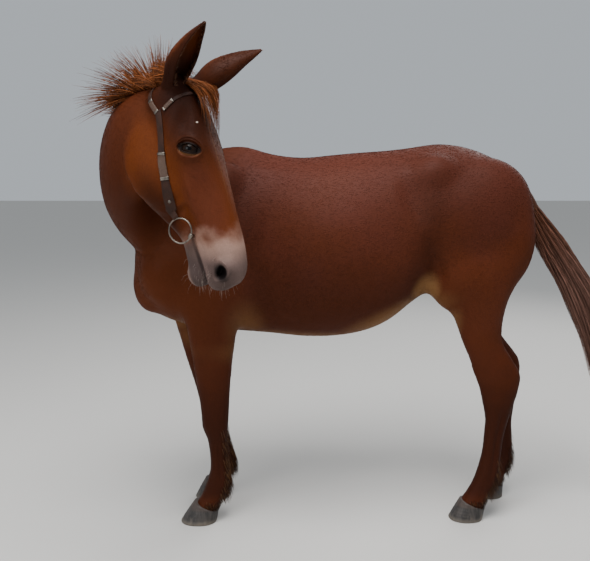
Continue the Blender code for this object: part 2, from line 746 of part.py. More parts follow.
def whole_animal():
    """The animal in one skin, without its hooves, ears, eyes and tail."""
    parts = [torso_loft(), loft(neck_rings()), *body_masses(), *(limb_loft(name) for name in LIMBS)]
    body = fused(parts, "body", BODY_VOXEL)
    soften(body, 22, 0.0, lambda p: np.clip((p[:, 2] - 0.78) / 0.15, 0, 1))
    soften(body, 8)
    points, normals = read_points(body.data), read_normals(body.data)
    for (x, side, z), radii, turn, height in BODY_FORMS:
        for y in (-side, side):
            raise_form(points, normals, (x, y, z), radii, leaned(turn), height)
    write_points(body.data, points)
    head = soften(fused(head_masses(), "head", WHOLE_VOXEL), 9, 0.0)
    points, normals = read_points(head.data), read_normals(head.data)
    for along, deep, side, radii, turn, height in HEAD_FORMS:
        spin = Matrix.Rotation(math.radians(turn), 3, HEAD_RIGHT)
        for out in (-side, side):
            axes = (spin @ HEAD_ALONG, spin @ HEAD_OUT, HEAD_RIGHT)
            raise_form(points, normals, on_head(along, deep, out), radii, axes, height)
    write_points(head.data, points)
    whole = fused([body, head], "whole", WHOLE_VOXEL)
    return soften(whole, 8)


# Ears, eyes and the cuts in the head


def ear_frame(suffix):
    """An ear's root and tip, the direction up it, across it and out of its opening."""
    side, *ends, (down, ahead, out) = EARS[suffix]
    root, tip = (on_head(along, deep, width * side) for along, deep, width in ends)
    opening = HEAD_ALONG * down + HEAD_OUT * ahead + HEAD_RIGHT * out * side
    axis = (tip - root).normalized()
    front = (opening - axis * opening.dot(axis)).normalized()
    return root, tip, axis, axis.cross(front), front


def ear_root(suffix, pad=0.0):
    root, _, axis, across, front = ear_frame(suffix)
    rings = []
    for distance, radius in between_stations(EAR_ROOT, 6):
        middle = root + axis * (distance - (pad if distance == 0 else 0))
        rings.append(oval(middle, across, front, radius + pad, radius + pad, radius + pad, sides=14))
    return loft(rings, "ear_root")


def ear(suffix, name):
    """One ear: a tall leaf rolled into a cup that is open to the front, on a solid root."""
    root, tip, axis, across, front = ear_frame(suffix)
    length = (tip - root).length - EAR_START
    rings = []
    for share, half_width, depth, half_open, lean in between_stations(EAR_CUP, 11):
        middle = root + axis * (EAR_START + length * share) + front * lean
        wall = EAR_WALL * (1 - 0.75 * share)
        outer, inner = [], []
        for i in range(EAR_SIDES + 1):
            angle = math.pi * 1.5 + (i / EAR_SIDES * 2 - 1) * (math.pi - half_open)
            c, s = math.cos(angle), math.sin(angle)
            outer.append(middle + across * c * half_width + front * s * depth)
            inner.append(middle + across * c * (half_width - wall) + front * s * (depth - wall))
        rings.append(outer + inner[::-1])
    return boolean(loft(rings, name), [ear_root(suffix)], "UNION")


def eye_frame(side):
    """The middle of an eye and the directions forward along its slit, up across it and out of it."""
    along, deep, out = EYE_PLACE
    centre = on_head(along, deep, out * side)
    look = (HEAD_RIGHT * side * 0.93 + HEAD_OUT * 0.28 - HEAD_ALONG * 0.05).normalized()
    slit = HEAD_ALONG * 0.46 + HEAD_OUT * 0.885
    slit = (slit - look * slit.dot(look)).normalized()
    lift = look.cross(slit) * side
    return centre, slit, lift, look


def almond(side):
    """A lens-shaped cutter that opens the lids over an eye, the upper arch higher than the lower one."""
    centre, slit, lift, look = eye_frame(side)
    rings = []
    for reach, flare in ((0.004, 1.0), (0.024, 1.0), (0.060, 1.5)):
        ring = []
        for i in range(20):
            angle = 2 * math.pi * i / 20
            rise = math.copysign(abs(math.sin(angle)) ** 1.25, math.sin(angle))
            high = LID_RISE if rise > 0 else LID_FALL
            place = slit * math.cos(angle) * SLIT_HALF + lift * rise * high
            ring.append(centre + place * flare + look * reach)
        rings.append(ring)
    return loft(rings)


def face_cutters():
    """What is cut out of the head: eye sockets, slits between the lids, nostrils and the line of the mouth."""
    cutters = [mouth_cutter()]
    spin = Matrix.Rotation(math.radians(-35), 3, HEAD_RIGHT)
    for side in (-1, 1):
        centre, _, _, _ = eye_frame(side)
        cutters.append(ball(centre, (EYE_RADIUS + GAP * 2,) * 3, segments=16, rings=9))
        cutters.append(almond(side))
        for along, deep, out, radii in NOSTRIL:
            axes = (spin @ HEAD_ALONG, spin @ HEAD_OUT, HEAD_RIGHT)
            cutters.append(ball(on_head(along, deep, out * side), radii, axes, segments=14, rings=8))
    cutters.extend(ear_root(suffix, GAP) for suffix in EARS)
    ends = [on_head(*MOUTH_CORNER, out) for out in (-0.1, 0.1)]
    cutters.append(tube(ends, BIT_RADIUS + GAP * 2))
    return cutters


def mouth_cutter():
    """A thin curved blade that parts the lips from the corners of the mouth to the front."""
    rings = []
    for along, deep, half in between_stations(MOUTH, 14):
        middle = on_head(along, deep)
        out = HEAD_RIGHT * 0.09
        rise = HEAD_OUT * half
        rings.append([middle - out - rise, middle - out + rise, middle + out + rise, middle + out - rise])
    return loft(rings)


# Hair


def curve(root, bend, tip, count):
    """Points along a bent line from root towards bend and on to tip."""
    points = []
    for i in range(count):
        t = i / (count - 1)
        points.append(root * (1 - t) ** 2 + bend * 2 * t * (1 - t) + tip * t**2)
    return points


def lock(points, flat, width, thickness):
    """A flat tapered lock of hair along points, widest across flat."""
    last = len(points) - 1
    rings = []
    for i, point in enumerate(points):
        heading = (points[min(i + 1, last)] - points[max(i - 1, 0)]).normalized()
        across = (flat - heading * flat.dot(heading)).normalized()
        up = heading.cross(across)
        share = i / last
        size = LOCK_SHAPE[0] + (1 - LOCK_SHAPE[0]) * min(share / LOCK_SHAPE[1], 1)
        if share > LOCK_SHAPE[1]:
            size = max(1 - ((share - LOCK_SHAPE[1]) / (1 - LOCK_SHAPE[1])) ** 1.6, LOCK_SHAPE[2])
        rings.append([
            point + across * width * size,
            point + up * thickness * size,
            point - across * width * size,
            point - up * thickness * size,
        ])
    return loft(rings, "lock")


def tail_line(share):
    """The tail's middle, heading, half thickness and half width at a share of its length."""
    rows = between_stations(TAIL, 101)
    place = min(int(round(share * 100)), 98)
    row, ahead = rows[place], rows[place + 2]
    return Vector(row[:3]), Vector(ahead[:3] - row[:3]).normalized(), row[3], row[4]


def tail_core(pad=0.0):
    """The dock with its densest hair, to less than half way down the tail; pad fattens it."""
    rings = []
    for i in range(TAIL_CORE_RINGS):
        share = TAIL_CORE_REACH * i / (TAIL_CORE_RINGS - 1)
        middle, heading, deep, wide = tail_line(share)
        taper = 1 if share < 0.18 else 1 - 0.75 * (share - 0.18) / (TAIL_CORE_REACH - 0.18)
        up = heading.cross(ACROSS).normalized()
        middle = middle - heading * (pad if i == 0 else 0)
        thick = deep * taper + pad
        rings.append(oval(middle, ACROSS, up, wide * taper + pad, thick, thick, sides=10))
    return loft(rings, "tail")


def tail(name):
    """The dock and the locks of the tail, which overlap down its length and end at different places."""
    seeded = random.Random(7)
    core = tail_core()
    core.name = name
    locks = []
    for i in range(TAIL_LOCKS):
        start = 0.10 + 0.26 * seeded.random()
        end = 0.62 + 0.36 * seeded.random() if i % 3 else 0.90 + 0.10 * seeded.random()
        angle = 2 * math.pi * (i * 0.382 + 0.1 * seeded.random())
        spread = 0.55 + 0.42 * seeded.random()
        drift = seeded.uniform(-0.5, 0.5)
        points = []
        for k in range(6):
            t = k / 5
            middle, heading, deep, wide = tail_line(start + (end - start) * t)
            up = heading.cross(ACROSS).normalized()
            turn = angle + drift * t
            reach = TAIL_LOCK_REACH * min(0.35 + 2.2 * t, 1) * spread * (1 + 0.12 * math.sin(5 * t + i))
            points.append(middle + (ACROSS * math.cos(turn) * wide + up * math.sin(turn) * deep) * reach)
        out = ACROSS * math.sin(angle) - up * math.cos(angle)
        locks.append(lock(points, out, seeded.uniform(0.022, 0.031), seeded.uniform(0.007, 0.010)))
    return boolean(core, locks, "UNION")


def crest_line(share):
    """A point just under the crest of the neck at a share of its length, and the way up out of it."""
    rows = between_stations([(*centre, depth, width) for centre, depth, width in NECK], 101)
    i = min(max(int(round(share * 100)), 1), 99)
    heading = Vector(rows[i + 1][:3] - rows[i - 1][:3]).normalized()
    up = (Vector((0, 0, 1)) - heading * heading.z).normalized()
    return Vector(rows[i][:3]) + up * (rows[i][3] - 0.014), up, heading


def mane():
    """Locks that stand out behind the ears in a fan."""
    seeded = random.Random(3)
    locks = []
    for i in range(MANE_FAN):
        share = i / (MANE_FAN - 1)
        inner = i % 3 == 1
        root = MANE_ROOTS[0].lerp(MANE_ROOTS[1], share) + Vector((0, seeded.uniform(-0.022, 0.022), 0))
        angle = math.radians(192 - 110 * share + seeded.uniform(-7, 7))
        reach = (0.190 - 0.020 * share) * (0.68 if inner else 1) + seeded.uniform(-0.025, 0.015)
        away = Vector((math.cos(angle), seeded.uniform(-0.25, 0.25), math.sin(angle))).normalized()
        sweep = Vector((math.sin(angle), 0, -math.cos(angle))) * seeded.uniform(-0.10, 0.22)
        bend = root + (away * 0.50 + sweep) * reach
        tip = root + away * reach
        flat = away.cross(Vector((0, 1, 0))) + Vector((0, seeded.uniform(-0.7, 0.7), 0))
        width = seeded.uniform(0.013, 0.018) + (0.004 if inner else 0)
        locks.append(lock(curve(root, bend, tip, 5), flat, width, 0.0045))
    return locks


def crest(first, last, count, seed):
    """Short locks that lie along the crest of the neck between two shares of its length."""
    seeded = random.Random(seed)
    locks = []
    for i in range(count):
        share = first + (last - first) * (i + 0.4 * seeded.random()) / (count - 1)
        root, up, heading = crest_line(share)
        side = heading.cross(up).normalized()
        reach = 0.035 + 0.065 * share + seeded.uniform(-0.008, 0.008)
        lean = side * seeded.uniform(0.45, 0.85) - heading * seeded.uniform(0.2, 0.5)
        bend = root + up * reach * 0.60 + lean * reach * 0.2
        tip = root + up * reach * 0.55 + lean * reach
        locks.append(lock(curve(root, bend, tip, 4), heading, seeded.uniform(0.016, 0.021), 0.0045))
    return locks


def forelock():
    """Locks that rise between the ears and sweep over the left side of the forehead."""
    seeded = random.Random(8)
    locks = []
    for i in range(FORELOCK):
        share = i / (FORELOCK - 1)
        root = on_head(seeded.uniform(-0.004, 0.006), 0.034, 0.015 - 0.018 * share)
        reach = 0.095 + 0.070 * seeded.random()
        bend = on_head(0.010 + 0.012 * share, -0.048 - 0.008 * seeded.random(), -0.004 - 0.026 * share)
        tip = on_head(reach, 0.004 + 0.012 * share, -0.018 - 0.046 * share + seeded.uniform(-0.006, 0.006))
        flat = HEAD_RIGHT * (1 - 0.5 * share) - HEAD_OUT * 0.6 * share
        locks.append(lock(curve(root, bend, tip, 6), flat, seeded.uniform(0.010, 0.013), 0.004))
    return locks


# Bridle


def strap_line(surface, places, count):
    """Points on the skin nearest a line through head places, with the directions out of it."""
    points, normals = [], []
    for along, deep, out in between_stations(places, count):
        near, normal, _, _ = surface.find_nearest(on_head(along, deep, out))
        points.append(near)
        normals.append(normal)
    for _ in range(3):
        pairs = zip(normals, normals[1:], normals[2:])
        inner = [(before + middle * 2 + after).normalized() for before, middle, after in pairs]
        normals = [normals[0], *inner, normals[-1]]
    return points, normals


def band(points, normals, widths, low, high, name):
    """A flat band along points, from low to high above them, with a width for each."""
    last = len(points) - 1
    rings = []
    for i, (point, normal, width) in enumerate(zip(points, normals, widths)):
        heading = (points[min(i + 1, last)] - points[max(i - 1, 0)]).normalized()
        side = heading.cross(normal).normalized()
        corners = ((-1, low), (1, low), (1, high), (-1, high))
        rings.append([point + side * across * width / 2 + normal * level for across, level in corners])
    return loft(rings, name)


def strap(surface, places, count, width, low, high, name):
    points, normals = strap_line(surface, places, count)
    return band(points, normals, [width] * count, low, high, name)


def stretch(places, first, last, count):
    """The places between two shares of the length of a line of places."""
    rows = between_stations(places, 81)
    return [tuple(rows[int(round(i))]) for i in np.linspace(first * 80, last * 80, count)]


def swollen(obj, reach):
    """A copy of obj with every vertex moved out along its normal."""
    made = copied(obj, "gap")
    write_points(made.data, read_points(made.data) + read_normals(made.data) * reach)
    return made


def mirrored(places):
    """A line of places from the left side over the middle to the right side."""
    left = [(along, deep, -out) for along, deep, out in places]
    return left + [tuple(place) for place in places[-2::-1]]


def ring_side(surface, side):
    """How far out a bit ring lies so that it clears the cheek all round."""
    furthest = 0
    for i in range(24):
        angle = 2 * math.pi * i / 24
        along = RING_MIDDLE[0] + math.cos(angle) * RING_RADIUS
        deep = RING_MIDDLE[1] + math.sin(angle) * RING_RADIUS
        hit, _, _, _ = surface.ray_cast(on_head(along, deep, side * 0.3), -HEAD_RIGHT * side)
        if hit is not None:
            furthest = max(furthest, (hit - POLL).dot(HEAD_RIGHT) * side)
    return furthest + RING_WIRE + 0.0012


def bit_ring(place, name, pad=0.0):
    return torus(place, HEAD_ALONG, HEAD_OUT, RING_RADIUS, RING_WIRE + pad, name)


def bridle(surface):
    """The headstall, its fittings, the rings and the bit by name, and solid copies of what is worn."""
    made = {}
    ends = []
    for side, suffix in ((-1, "left"), (1, "right")):
        out = ring_side(surface, side)
        ring = on_head(*RING_MIDDLE, out * side)
        made["ring_" + suffix] = bit_ring(ring, "ring_" + suffix)
        ends.append(ring)
        cheek = [(along, deep, away * side) for along, deep, away in CHEEKPIECE]
        points, normals = strap_line(surface, cheek[::-1], 14)
        loop = ring - HEAD_ALONG * RING_RADIUS
        points.append(loop)
        normals.append(HEAD_RIGHT * side)
        name = "cheekpiece_" + suffix
        narrow, broad = CHEEKPIECE_WIDTHS
        widths = [narrow] * 10 + [(narrow + broad) / 2, broad, broad, narrow * 0.9, narrow * 0.8]
        made[name] = band(points, normals, widths, STRAP_LOW, STRAP_HIGH, name)
        sleeve = tube([loop - HEAD_OUT * 0.009, loop + HEAD_OUT * 0.009], RING_WIRE + SLEEVE_WALL)
        boolean(made[name], [sleeve], "UNION")
        boolean(made[name], [bit_ring(ring, "gap", GAP * 2)], "DIFFERENCE")
        name = "wrap_" + suffix
        low, high = STRAP_LOW + 0.0006, STRAP_HIGH + 0.0022
        sleeve_places = stretch(cheek, KEEPER_SHARES[0] + 0.02, KEEPER_SHARES[1] - 0.02, 7)
        made[name] = strap(surface, sleeve_places, 5, narrow + WRAP_EXTRA, low, high, name)
        for i, share in enumerate(KEEPER_SHARES):
            name = f"keeper_{suffix}_{i + 1}"
            near = stretch(cheek, share - 0.012, share + 0.012, 3)
            made[name] = strap(surface, near, 3, narrow + KEEPER_EXTRA, low, high + 0.0012, name)
    high = STRAP_HIGH - 0.0010
    made["crownpiece"] = strap(surface, mirrored(CROWN), 23, CROWN_WIDTH, STRAP_LOW, high, "crownpiece")
    made["browband"] = strap(surface, mirrored(BROW), 23, BROW_WIDTH, STRAP_LOW, high, "browband")
    corners = [on_head(*MOUTH_CORNER, (end - POLL).dot(HEAD_RIGHT)) for end in ends]
    bar = tube(corners, BIT_RADIUS, "bit")
    spoke = (on_head(*MOUTH_CORNER) - on_head(*RING_MIDDLE)).normalized()
    across = spoke.cross(HEAD_RIGHT).normalized()
    sleeves = [tube([c - across * 0.007, c + across * 0.007], RING_WIRE + SLEEVE_WALL) for c in corners]
    boolean(bar, sleeves, "UNION")
    gaps = [bit_ring(end, "gap", GAP * 2) for end in ends]
    made["bit"] = boolean(bar, gaps, "DIFFERENCE")
    hulls = [copied(worn, "hull") for name, worn in made.items() if not name.startswith(("ring", "bit"))]
    for name in [found for found in made if found.startswith(("wrap", "keeper"))]:
        inside = made["cheekpiece_" + ("left" if "left" in name else "right")]
        boolean(made[name], [swollen(inside, GAP * 3)], "DIFFERENCE")
    return made, hulls


def main():
    clear_scene()
    whole = whole_animal()
    point, normal = NECK_MIDDLE_CUT
    front = sliced(whole, [(point - normal.normalized() * 0.01, normal)], "front", on_head(0.5, 0.1))
    thinned(front, FRONT_TRIANGLES)
    thinned(whole, BODY_TRIANGLES)
    faces = [face.vertices for face in front.data.polygons]
    surface = BVHTree.FromPolygons([v.co for v in front.data.vertices], faces)
    nodes = {}
    nodes["head"] = sliced(front, [HEAD_CUT], "head", on_head(0.5, 0.1))
    middle = Vector(NECK[5][0])
    nodes["neck_upper"] = sliced(front, [NECK_MIDDLE_CUT, flipped(HEAD_CUT)], "neck_upper", middle)
    nodes["neck_lower"] = sliced(
        whole, [NECK_BASE_CUT, flipped(NECK_MIDDLE_CUT)], "neck_lower", Vector((-0.62, -0.18, 1.35))
    )
    nodes["torso"] = sliced(
        whole, [flipped(NECK_BASE_CUT), FORELEG_CUT, HINDLEG_CUT], "torso", Vector((0.2, 0, 1.47))
    )
    for name, (_, kind, foot, _, _) in LIMBS.items():
        cut = FORELEG_CUT if kind == "fore" else HINDLEG_CUT
        place, up = coronet(name)
        nodes[name] = sliced(whole, [flipped(cut), (place, up)], name, place + Vector((0, 0, 0.2)))
        nodes["hoof_" + name] = hoof(name)
    for side, suffix in ((-1, "left"), (1, "right")):
        nodes["ear_" + suffix] = ear(suffix, "ear_" + suffix)
        centre, _, _, _ = eye_frame(side)
        nodes["eye_" + suffix] = ball(centre, (EYE_RADIUS,) * 3, segments=16, rings=9, name="eye_" + suffix)
    boolean(nodes["torso"], [tail_core(GAP * 2)], "DIFFERENCE")
    nodes["tail"] = tail("tail")
    boolean(nodes["head"], face_cutters(), "DIFFERENCE")
    boolean(nodes["head"], forelock(), "UNION")
    boolean(nodes["neck_upper"], mane() + crest(*MANE_CREST["neck_upper"]), "UNION")
    boolean(nodes["neck_lower"], crest(*MANE_CREST["neck_lower"]), "UNION")
    straps, hulls = bridle(surface)
    for name in ("head", "neck_upper"):
        boolean(nodes[name], [swollen(hull, STRAP_GAP) for hull in hulls], "DIFFERENCE")
    nodes.update(straps)
    for extra in (whole, front, *hulls):
        bpy.data.objects.remove(extra)
    return finish(nodes)


def finish(nodes):
    """Each node in its own material, all of them moved so that the origin is under the middle of their box."""
    corners = np.array([v.co for made in nodes.values() for v in made.data.vertices])
    low, high = corners.min(axis=0), corners.max(axis=0)
    move = Vector(((low[0] + high[0]) / -2, (low[1] + high[1]) / -2, -low[2]))
    for name, made in nodes.items():
        made.name = name
        made.data.transform(Matrix.Translation(move))
        kind = next(kind for kind in FINISHES if name.startswith(kind))
        colour, roughness, metallic = FINISHES[kind]
        made.data.materials.clear()
        made.data.materials.append(material(name, colour, roughness, metallic))
        made.data.calc_loop_triangles()
        print(name, len(made.data.loop_triangles))
    return move


if __name__ == "__main__":
    main()
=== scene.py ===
"""Life-size standing mule in a headstall: skin, coat, hair, eyes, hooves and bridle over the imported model."""

import math
from functools import reduce

import bmesh
import bpy
import numpy as np
from bpy.props import FloatProperty, FloatVectorProperty, IntProperty, PointerProperty
from mathutils import Matrix, Vector
from mathutils.bvhtree import BVHTree


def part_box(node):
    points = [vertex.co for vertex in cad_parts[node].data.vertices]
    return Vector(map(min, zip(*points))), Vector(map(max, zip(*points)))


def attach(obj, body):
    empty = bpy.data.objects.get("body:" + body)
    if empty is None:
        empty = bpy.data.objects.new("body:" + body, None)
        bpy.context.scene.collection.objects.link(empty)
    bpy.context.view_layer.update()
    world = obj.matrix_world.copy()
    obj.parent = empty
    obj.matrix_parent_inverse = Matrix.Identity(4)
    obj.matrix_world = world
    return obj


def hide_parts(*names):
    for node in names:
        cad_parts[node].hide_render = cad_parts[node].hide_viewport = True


bl_info = {
    "name": "Standing mule",
    "version": (1, 0, 0),
    "blender": (4, 5, 0),
    "location": "View3D > Sidebar > Mule",
    "description": "Skin, coat, mane, tail, eyes, hooves and bridle of a life-size mule",
    "category": "Object",
}

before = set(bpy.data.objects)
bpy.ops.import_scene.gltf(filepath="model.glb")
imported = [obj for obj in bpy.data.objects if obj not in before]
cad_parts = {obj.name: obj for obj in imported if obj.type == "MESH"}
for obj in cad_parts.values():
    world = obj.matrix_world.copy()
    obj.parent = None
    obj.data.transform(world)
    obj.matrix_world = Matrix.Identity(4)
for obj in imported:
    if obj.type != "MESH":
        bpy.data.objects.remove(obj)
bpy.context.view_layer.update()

# The tables are in the mule's own frame, with the middle of the trunk near x = 0. The left fore hoof, whose
# toe and middle line they know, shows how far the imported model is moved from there.
TOE_X = -0.4651
FORE_FOOT_Y = -0.13
HOOF_LOW, HOOF_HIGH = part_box("hoof_foreleg_left")
MOVE = Vector((HOOF_LOW[0] - TOE_X, (HOOF_LOW[1] + HOOF_HIGH[1]) / 2 - FORE_FOOT_Y, 0))
REAR, RIGHT, UP = Vector((1, 0, 0)), Vector((0, 1, 0)), Vector((0, 0, 1))

# Head frame: a place on the head is (along, deep, side), from the poll down the face, in from the line of
# the face, and out to the mule's right
POLL = Vector((-0.3075, -0.531, 1.693))
HEAD_YAW = math.radians(71.6)
HEAD_PITCH = math.radians(18.0)
FACING = Vector((math.sin(HEAD_YAW), -math.cos(HEAD_YAW), 0))
HEAD_ALONG = FACING * math.sin(HEAD_PITCH) - Vector((0, 0, math.cos(HEAD_PITCH)))
HEAD_OUT = FACING * math.cos(HEAD_PITCH) + Vector((0, 0, math.sin(HEAD_PITCH)))
HEAD_RIGHT = HEAD_ALONG.cross(HEAD_OUT)
HEAD_CUT = (Vector((-0.449, -0.483, 1.704)), Vector((0.75, -0.6, -0.3)).normalized())

BODY_VOXEL = 0.012
HEAD_VOXEL = 0.0055
SKIN_VOXEL = 0.007

# Each torso station: x, top, bottom, height of the widest line, half width, power of the curve above, below
TORSO = (
    (-0.64, 1.12, 0.97, 1.05, 0.07, 2.0, 2.0),
    (-0.6, 1.22, 0.885, 1.05, 0.145, 2.0, 2.0),
    (-0.52, 1.34, 0.825, 1.04, 0.2, 2.0, 2.1),
    (-0.4, 1.445, 0.79, 1.06, 0.232, 1.8, 2.1),
    (-0.29, 1.51, 0.778, 1.09, 0.24, 1.6, 2.1),
    (-0.2, 1.52, 0.772, 1.09, 0.245, 1.6, 2.2),
    (-0.09, 1.486, 0.764, 1.09, 0.258, 1.8, 2.2),
    (0.03, 1.471, 0.752, 1.08, 0.276, 2.1, 2.2),
    (0.16, 1.483, 0.754, 1.08, 0.288, 2.2, 2.2),
    (0.28, 1.493, 0.776, 1.09, 0.288, 2.2, 2.2),
    (0.38, 1.5, 0.822, 1.11, 0.276, 2.2, 2.2),
    (0.47, 1.512, 0.895, 1.16, 0.262, 2.2, 2.1),
    (0.56, 1.525, 0.95, 1.2, 0.262, 2.1, 2.1),
    (0.66, 1.515, 0.96, 1.22, 0.262, 2.0, 2.1),
    (0.76, 1.48, 0.975, 1.22, 0.245, 2.0, 2.1),
    (0.85, 1.425, 1.01, 1.22, 0.205, 2.0, 2.1),
    (0.905, 1.375, 1.07, 1.22, 0.135, 2.0, 2.0),
    (0.935, 1.33, 1.15, 1.24, 0.06, 2.0, 2.0),
)

# Each neck station: centre, half depth from crest to throat, half width
NECK = (
    (-0.24, 0.0, 1.19, 0.29, 0.15),
    (-0.39, -0.01, 1.24, 0.265, 0.146),
    (-0.508, -0.065, 1.29, 0.226, 0.128),
    (-0.58, -0.17, 1.35, 0.194, 0.11),
    (-0.596, -0.3, 1.42, 0.172, 0.1),
    (-0.552, -0.41, 1.49, 0.157, 0.092),
    (-0.465, -0.47, 1.555, 0.142, 0.084),
    (-0.385, -0.502, 1.605, 0.1, 0.068),
)

# Each limb station: height, x of the middle, half length, half width, side (1 is out from the middle line)
FORELIMB = (
    (1.06, -0.4, 0.13, 0.075, 0.15),
    (0.93, -0.35, 0.125, 0.072, 0.152),
    (0.84, -0.326, 0.106, 0.066, 0.15),
    (0.74, -0.325, 0.089, 0.059, 0.142),
    (0.64, -0.325, 0.076, 0.052, 0.137),
    (0.53, -0.322, 0.063, 0.046, 0.134),
    (0.45, -0.32, 0.056, 0.046, 0.132),
    (0.4, -0.32, 0.053, 0.046, 0.132),
    (0.35, -0.314, 0.04, 0.037, 0.131),
    (0.29, -0.311, 0.036, 0.03, 0.131),
    (0.23, -0.307, 0.038, 0.031, 0.13),
    (0.175, -0.31, 0.048, 0.038, 0.13),
    (0.125, -0.324, 0.053, 0.037, 0.13),
    (0.095, -0.342, 0.05, 0.04, 0.13),
    (0.07, -0.359, 0.049, 0.045, 0.13),
    (0.025, -0.38, 0.049, 0.046, 0.13),
)
HINDLIMB = (
    (1.2, 0.7, 0.205, 0.085, 0.14),
    (1.1, 0.695, 0.2, 0.092, 0.15),
    (1.0, 0.695, 0.168, 0.088, 0.152),
    (0.915, 0.706, 0.124, 0.076, 0.145),
    (0.83, 0.722, 0.094, 0.062, 0.135),
    (0.75, 0.741, 0.081, 0.05, 0.127),
    (0.68, 0.778, 0.086, 0.046, 0.121),
    (0.62, 0.806, 0.095, 0.044, 0.117),
    (0.56, 0.818, 0.081, 0.045, 0.115),
    (0.49, 0.818, 0.064, 0.042, 0.113),
    (0.43, 0.816, 0.049, 0.037, 0.112),
    (0.35, 0.806, 0.041, 0.032, 0.111),
    (0.28, 0.8, 0.041, 0.031, 0.11),
    (0.22, 0.792, 0.046, 0.035, 0.11),
    (0.165, 0.779, 0.049, 0.038, 0.11),
    (0.11, 0.752, 0.05, 0.038, 0.11),
    (0.072, 0.73, 0.052, 0.044, 0.11),
    (0.025, 0.71, 0.052, 0.045, 0.11),
)

# Each hoof: middle and half length at the ground, the same at the coronet, the coronet's height, half widths
HOOVES = {
    "fore": (-0.395, 0.073, -0.361, 0.049, 0.068, 0.058, 0.047),
    "hind": (0.703, 0.068, 0.731, 0.05, 0.066, 0.054, 0.045),
}
CORONET_SLOPE = 0.4

# Limbs: where each foot stands to the side, how far its x is off the table's at the ground and per metre up
LIMBS = {
    "foreleg_left": (FORELIMB, "fore", -0.13, 0.0, 0.0),
    "foreleg_right": (FORELIMB, "fore", 0.09, 0.03, -0.165),
    "hindleg_left": (HINDLIMB, "hind", -0.11, 0.0, 0.0),
    "hindleg_right": (HINDLIMB, "hind", 0.1, 0.145, -0.128),
}

# Bodies inside the trunk on both sides: middle (side is out), radii, lean in the side view
BODY_MASSES = (
    ((-0.37, 0.14, 1.21), (0.125, 0.085, 0.28), 30),
    ((-0.5, 0.135, 1.02), (0.11, 0.085, 0.125), 0),
    ((-0.33, 0.15, 1.0), (0.14, 0.08, 0.17), 0),
    ((-0.57, 0.055, 0.975), (0.08, 0.08, 0.125), 0),
    ((0.53, 0.14, 1.375), (0.13, 0.09, 0.11), 0),
    ((0.72, 0.12, 1.28), (0.195, 0.115, 0.195), 0),
    ((0.795, 0.125, 1.15), (0.135, 0.095, 0.2), 0),
    ((0.625, 0.15, 1.02), (0.12, 0.085, 0.15), 0),
)
WITHERS = ((-0.3, 0, 1.44), (0.17, 0.06, 0.07))

# Forms raised or sunk on the trunk, on both sides: middle (side is out), radii, turn in the side view, height
BODY_FORMS = (
    ((-0.33, 0.19, 1.26), (0.11, 0.12, 0.27), 28, 0.016),
    ((-0.5, 0.185, 1.06), (0.11, 0.12, 0.12), 0, 0.02),
    ((-0.285, 0.19, 0.96), (0.11, 0.11, 0.16), -15, 0.018),
    ((-0.18, 0.23, 1.1), (0.06, 0.1, 0.22), 18, -0.01),
    ((-0.56, 0.08, 0.96), (0.1, 0.07, 0.12), 0, 0.018),
    ((0.52, 0.215, 1.43), (0.11, 0.11, 0.09), -20, 0.009),
    ((0.43, 0.26, 1.33), (0.07, 0.09, 0.16), -18, -0.016),
    ((0.7, 0.18, 1.3), (0.16, 0.13, 0.17), 0, 0.014),
    ((0.84, 0.13, 1.19), (0.11, 0.11, 0.18), 12, 0.02),
    ((0.62, 0.2, 1.04), (0.11, 0.11, 0.14), -20, 0.022),
    ((0.52, 0.22, 1.08), (0.045, 0.1, 0.16), -25, -0.012),
    ((0.76, 0.16, 0.98), (0.06, 0.11, 0.16), 10, -0.008),
    ((0.14, 0.27, 1.15), (0.2, 0.12, 0.22), 0, 0.008),
    ((-0.09, 0.1, 1.47), (0.12, 0.09, 0.05), 0, -0.01),
)

# Skull stations: along, line of the face, underside, half width, depth of the widest line
FACE = (
    (-0.03, 0.05, 0.15, 0.05, 0.09),
    (0.0, 0.022, 0.2, 0.075, 0.09),
    (0.06, 0.006, 0.215, 0.086, 0.09),
    (0.13, 0.0, 0.225, 0.094, 0.08),
    (0.2, -0.002, 0.23, 0.096, 0.075),
    (0.27, 0.0, 0.225, 0.082, 0.08),
    (0.34, 0.002, 0.205, 0.067, 0.09),
    (0.42, 0.006, 0.182, 0.058, 0.095),
    (0.5, 0.01, 0.165, 0.055, 0.095),
    (0.57, 0.02, 0.16, 0.058, 0.095),
    (0.62, 0.038, 0.155, 0.056, 0.1),
    (0.65, 0.07, 0.14, 0.038, 0.105),
)
# Lower jaw stations: along, top, underside, half width
JAW = (
    (0.1, 0.14, 0.29, 0.062),
    (0.2, 0.13, 0.312, 0.076),
    (0.29, 0.13, 0.306, 0.072),
    (0.37, 0.13, 0.262, 0.054),
    (0.45, 0.135, 0.221, 0.04),
    (0.52, 0.135, 0.222, 0.037),
    (0.58, 0.14, 0.228, 0.032),
)
# Bodies on the head: along, deep, side, radii the same way round
HEAD_MASSES = (
    (0.195, 0.205, 0.058, (0.145, 0.108, 0.03)),
    (0.588, 0.085, 0.034, (0.05, 0.04, 0.027)),
    (0.605, 0.13, 0.022, (0.045, 0.035, 0.032)),
    (0.622, 0.12, 0.0, (0.036, 0.05, 0.045)),
    (0.578, 0.2, 0.0, (0.048, 0.04, 0.037)),
)
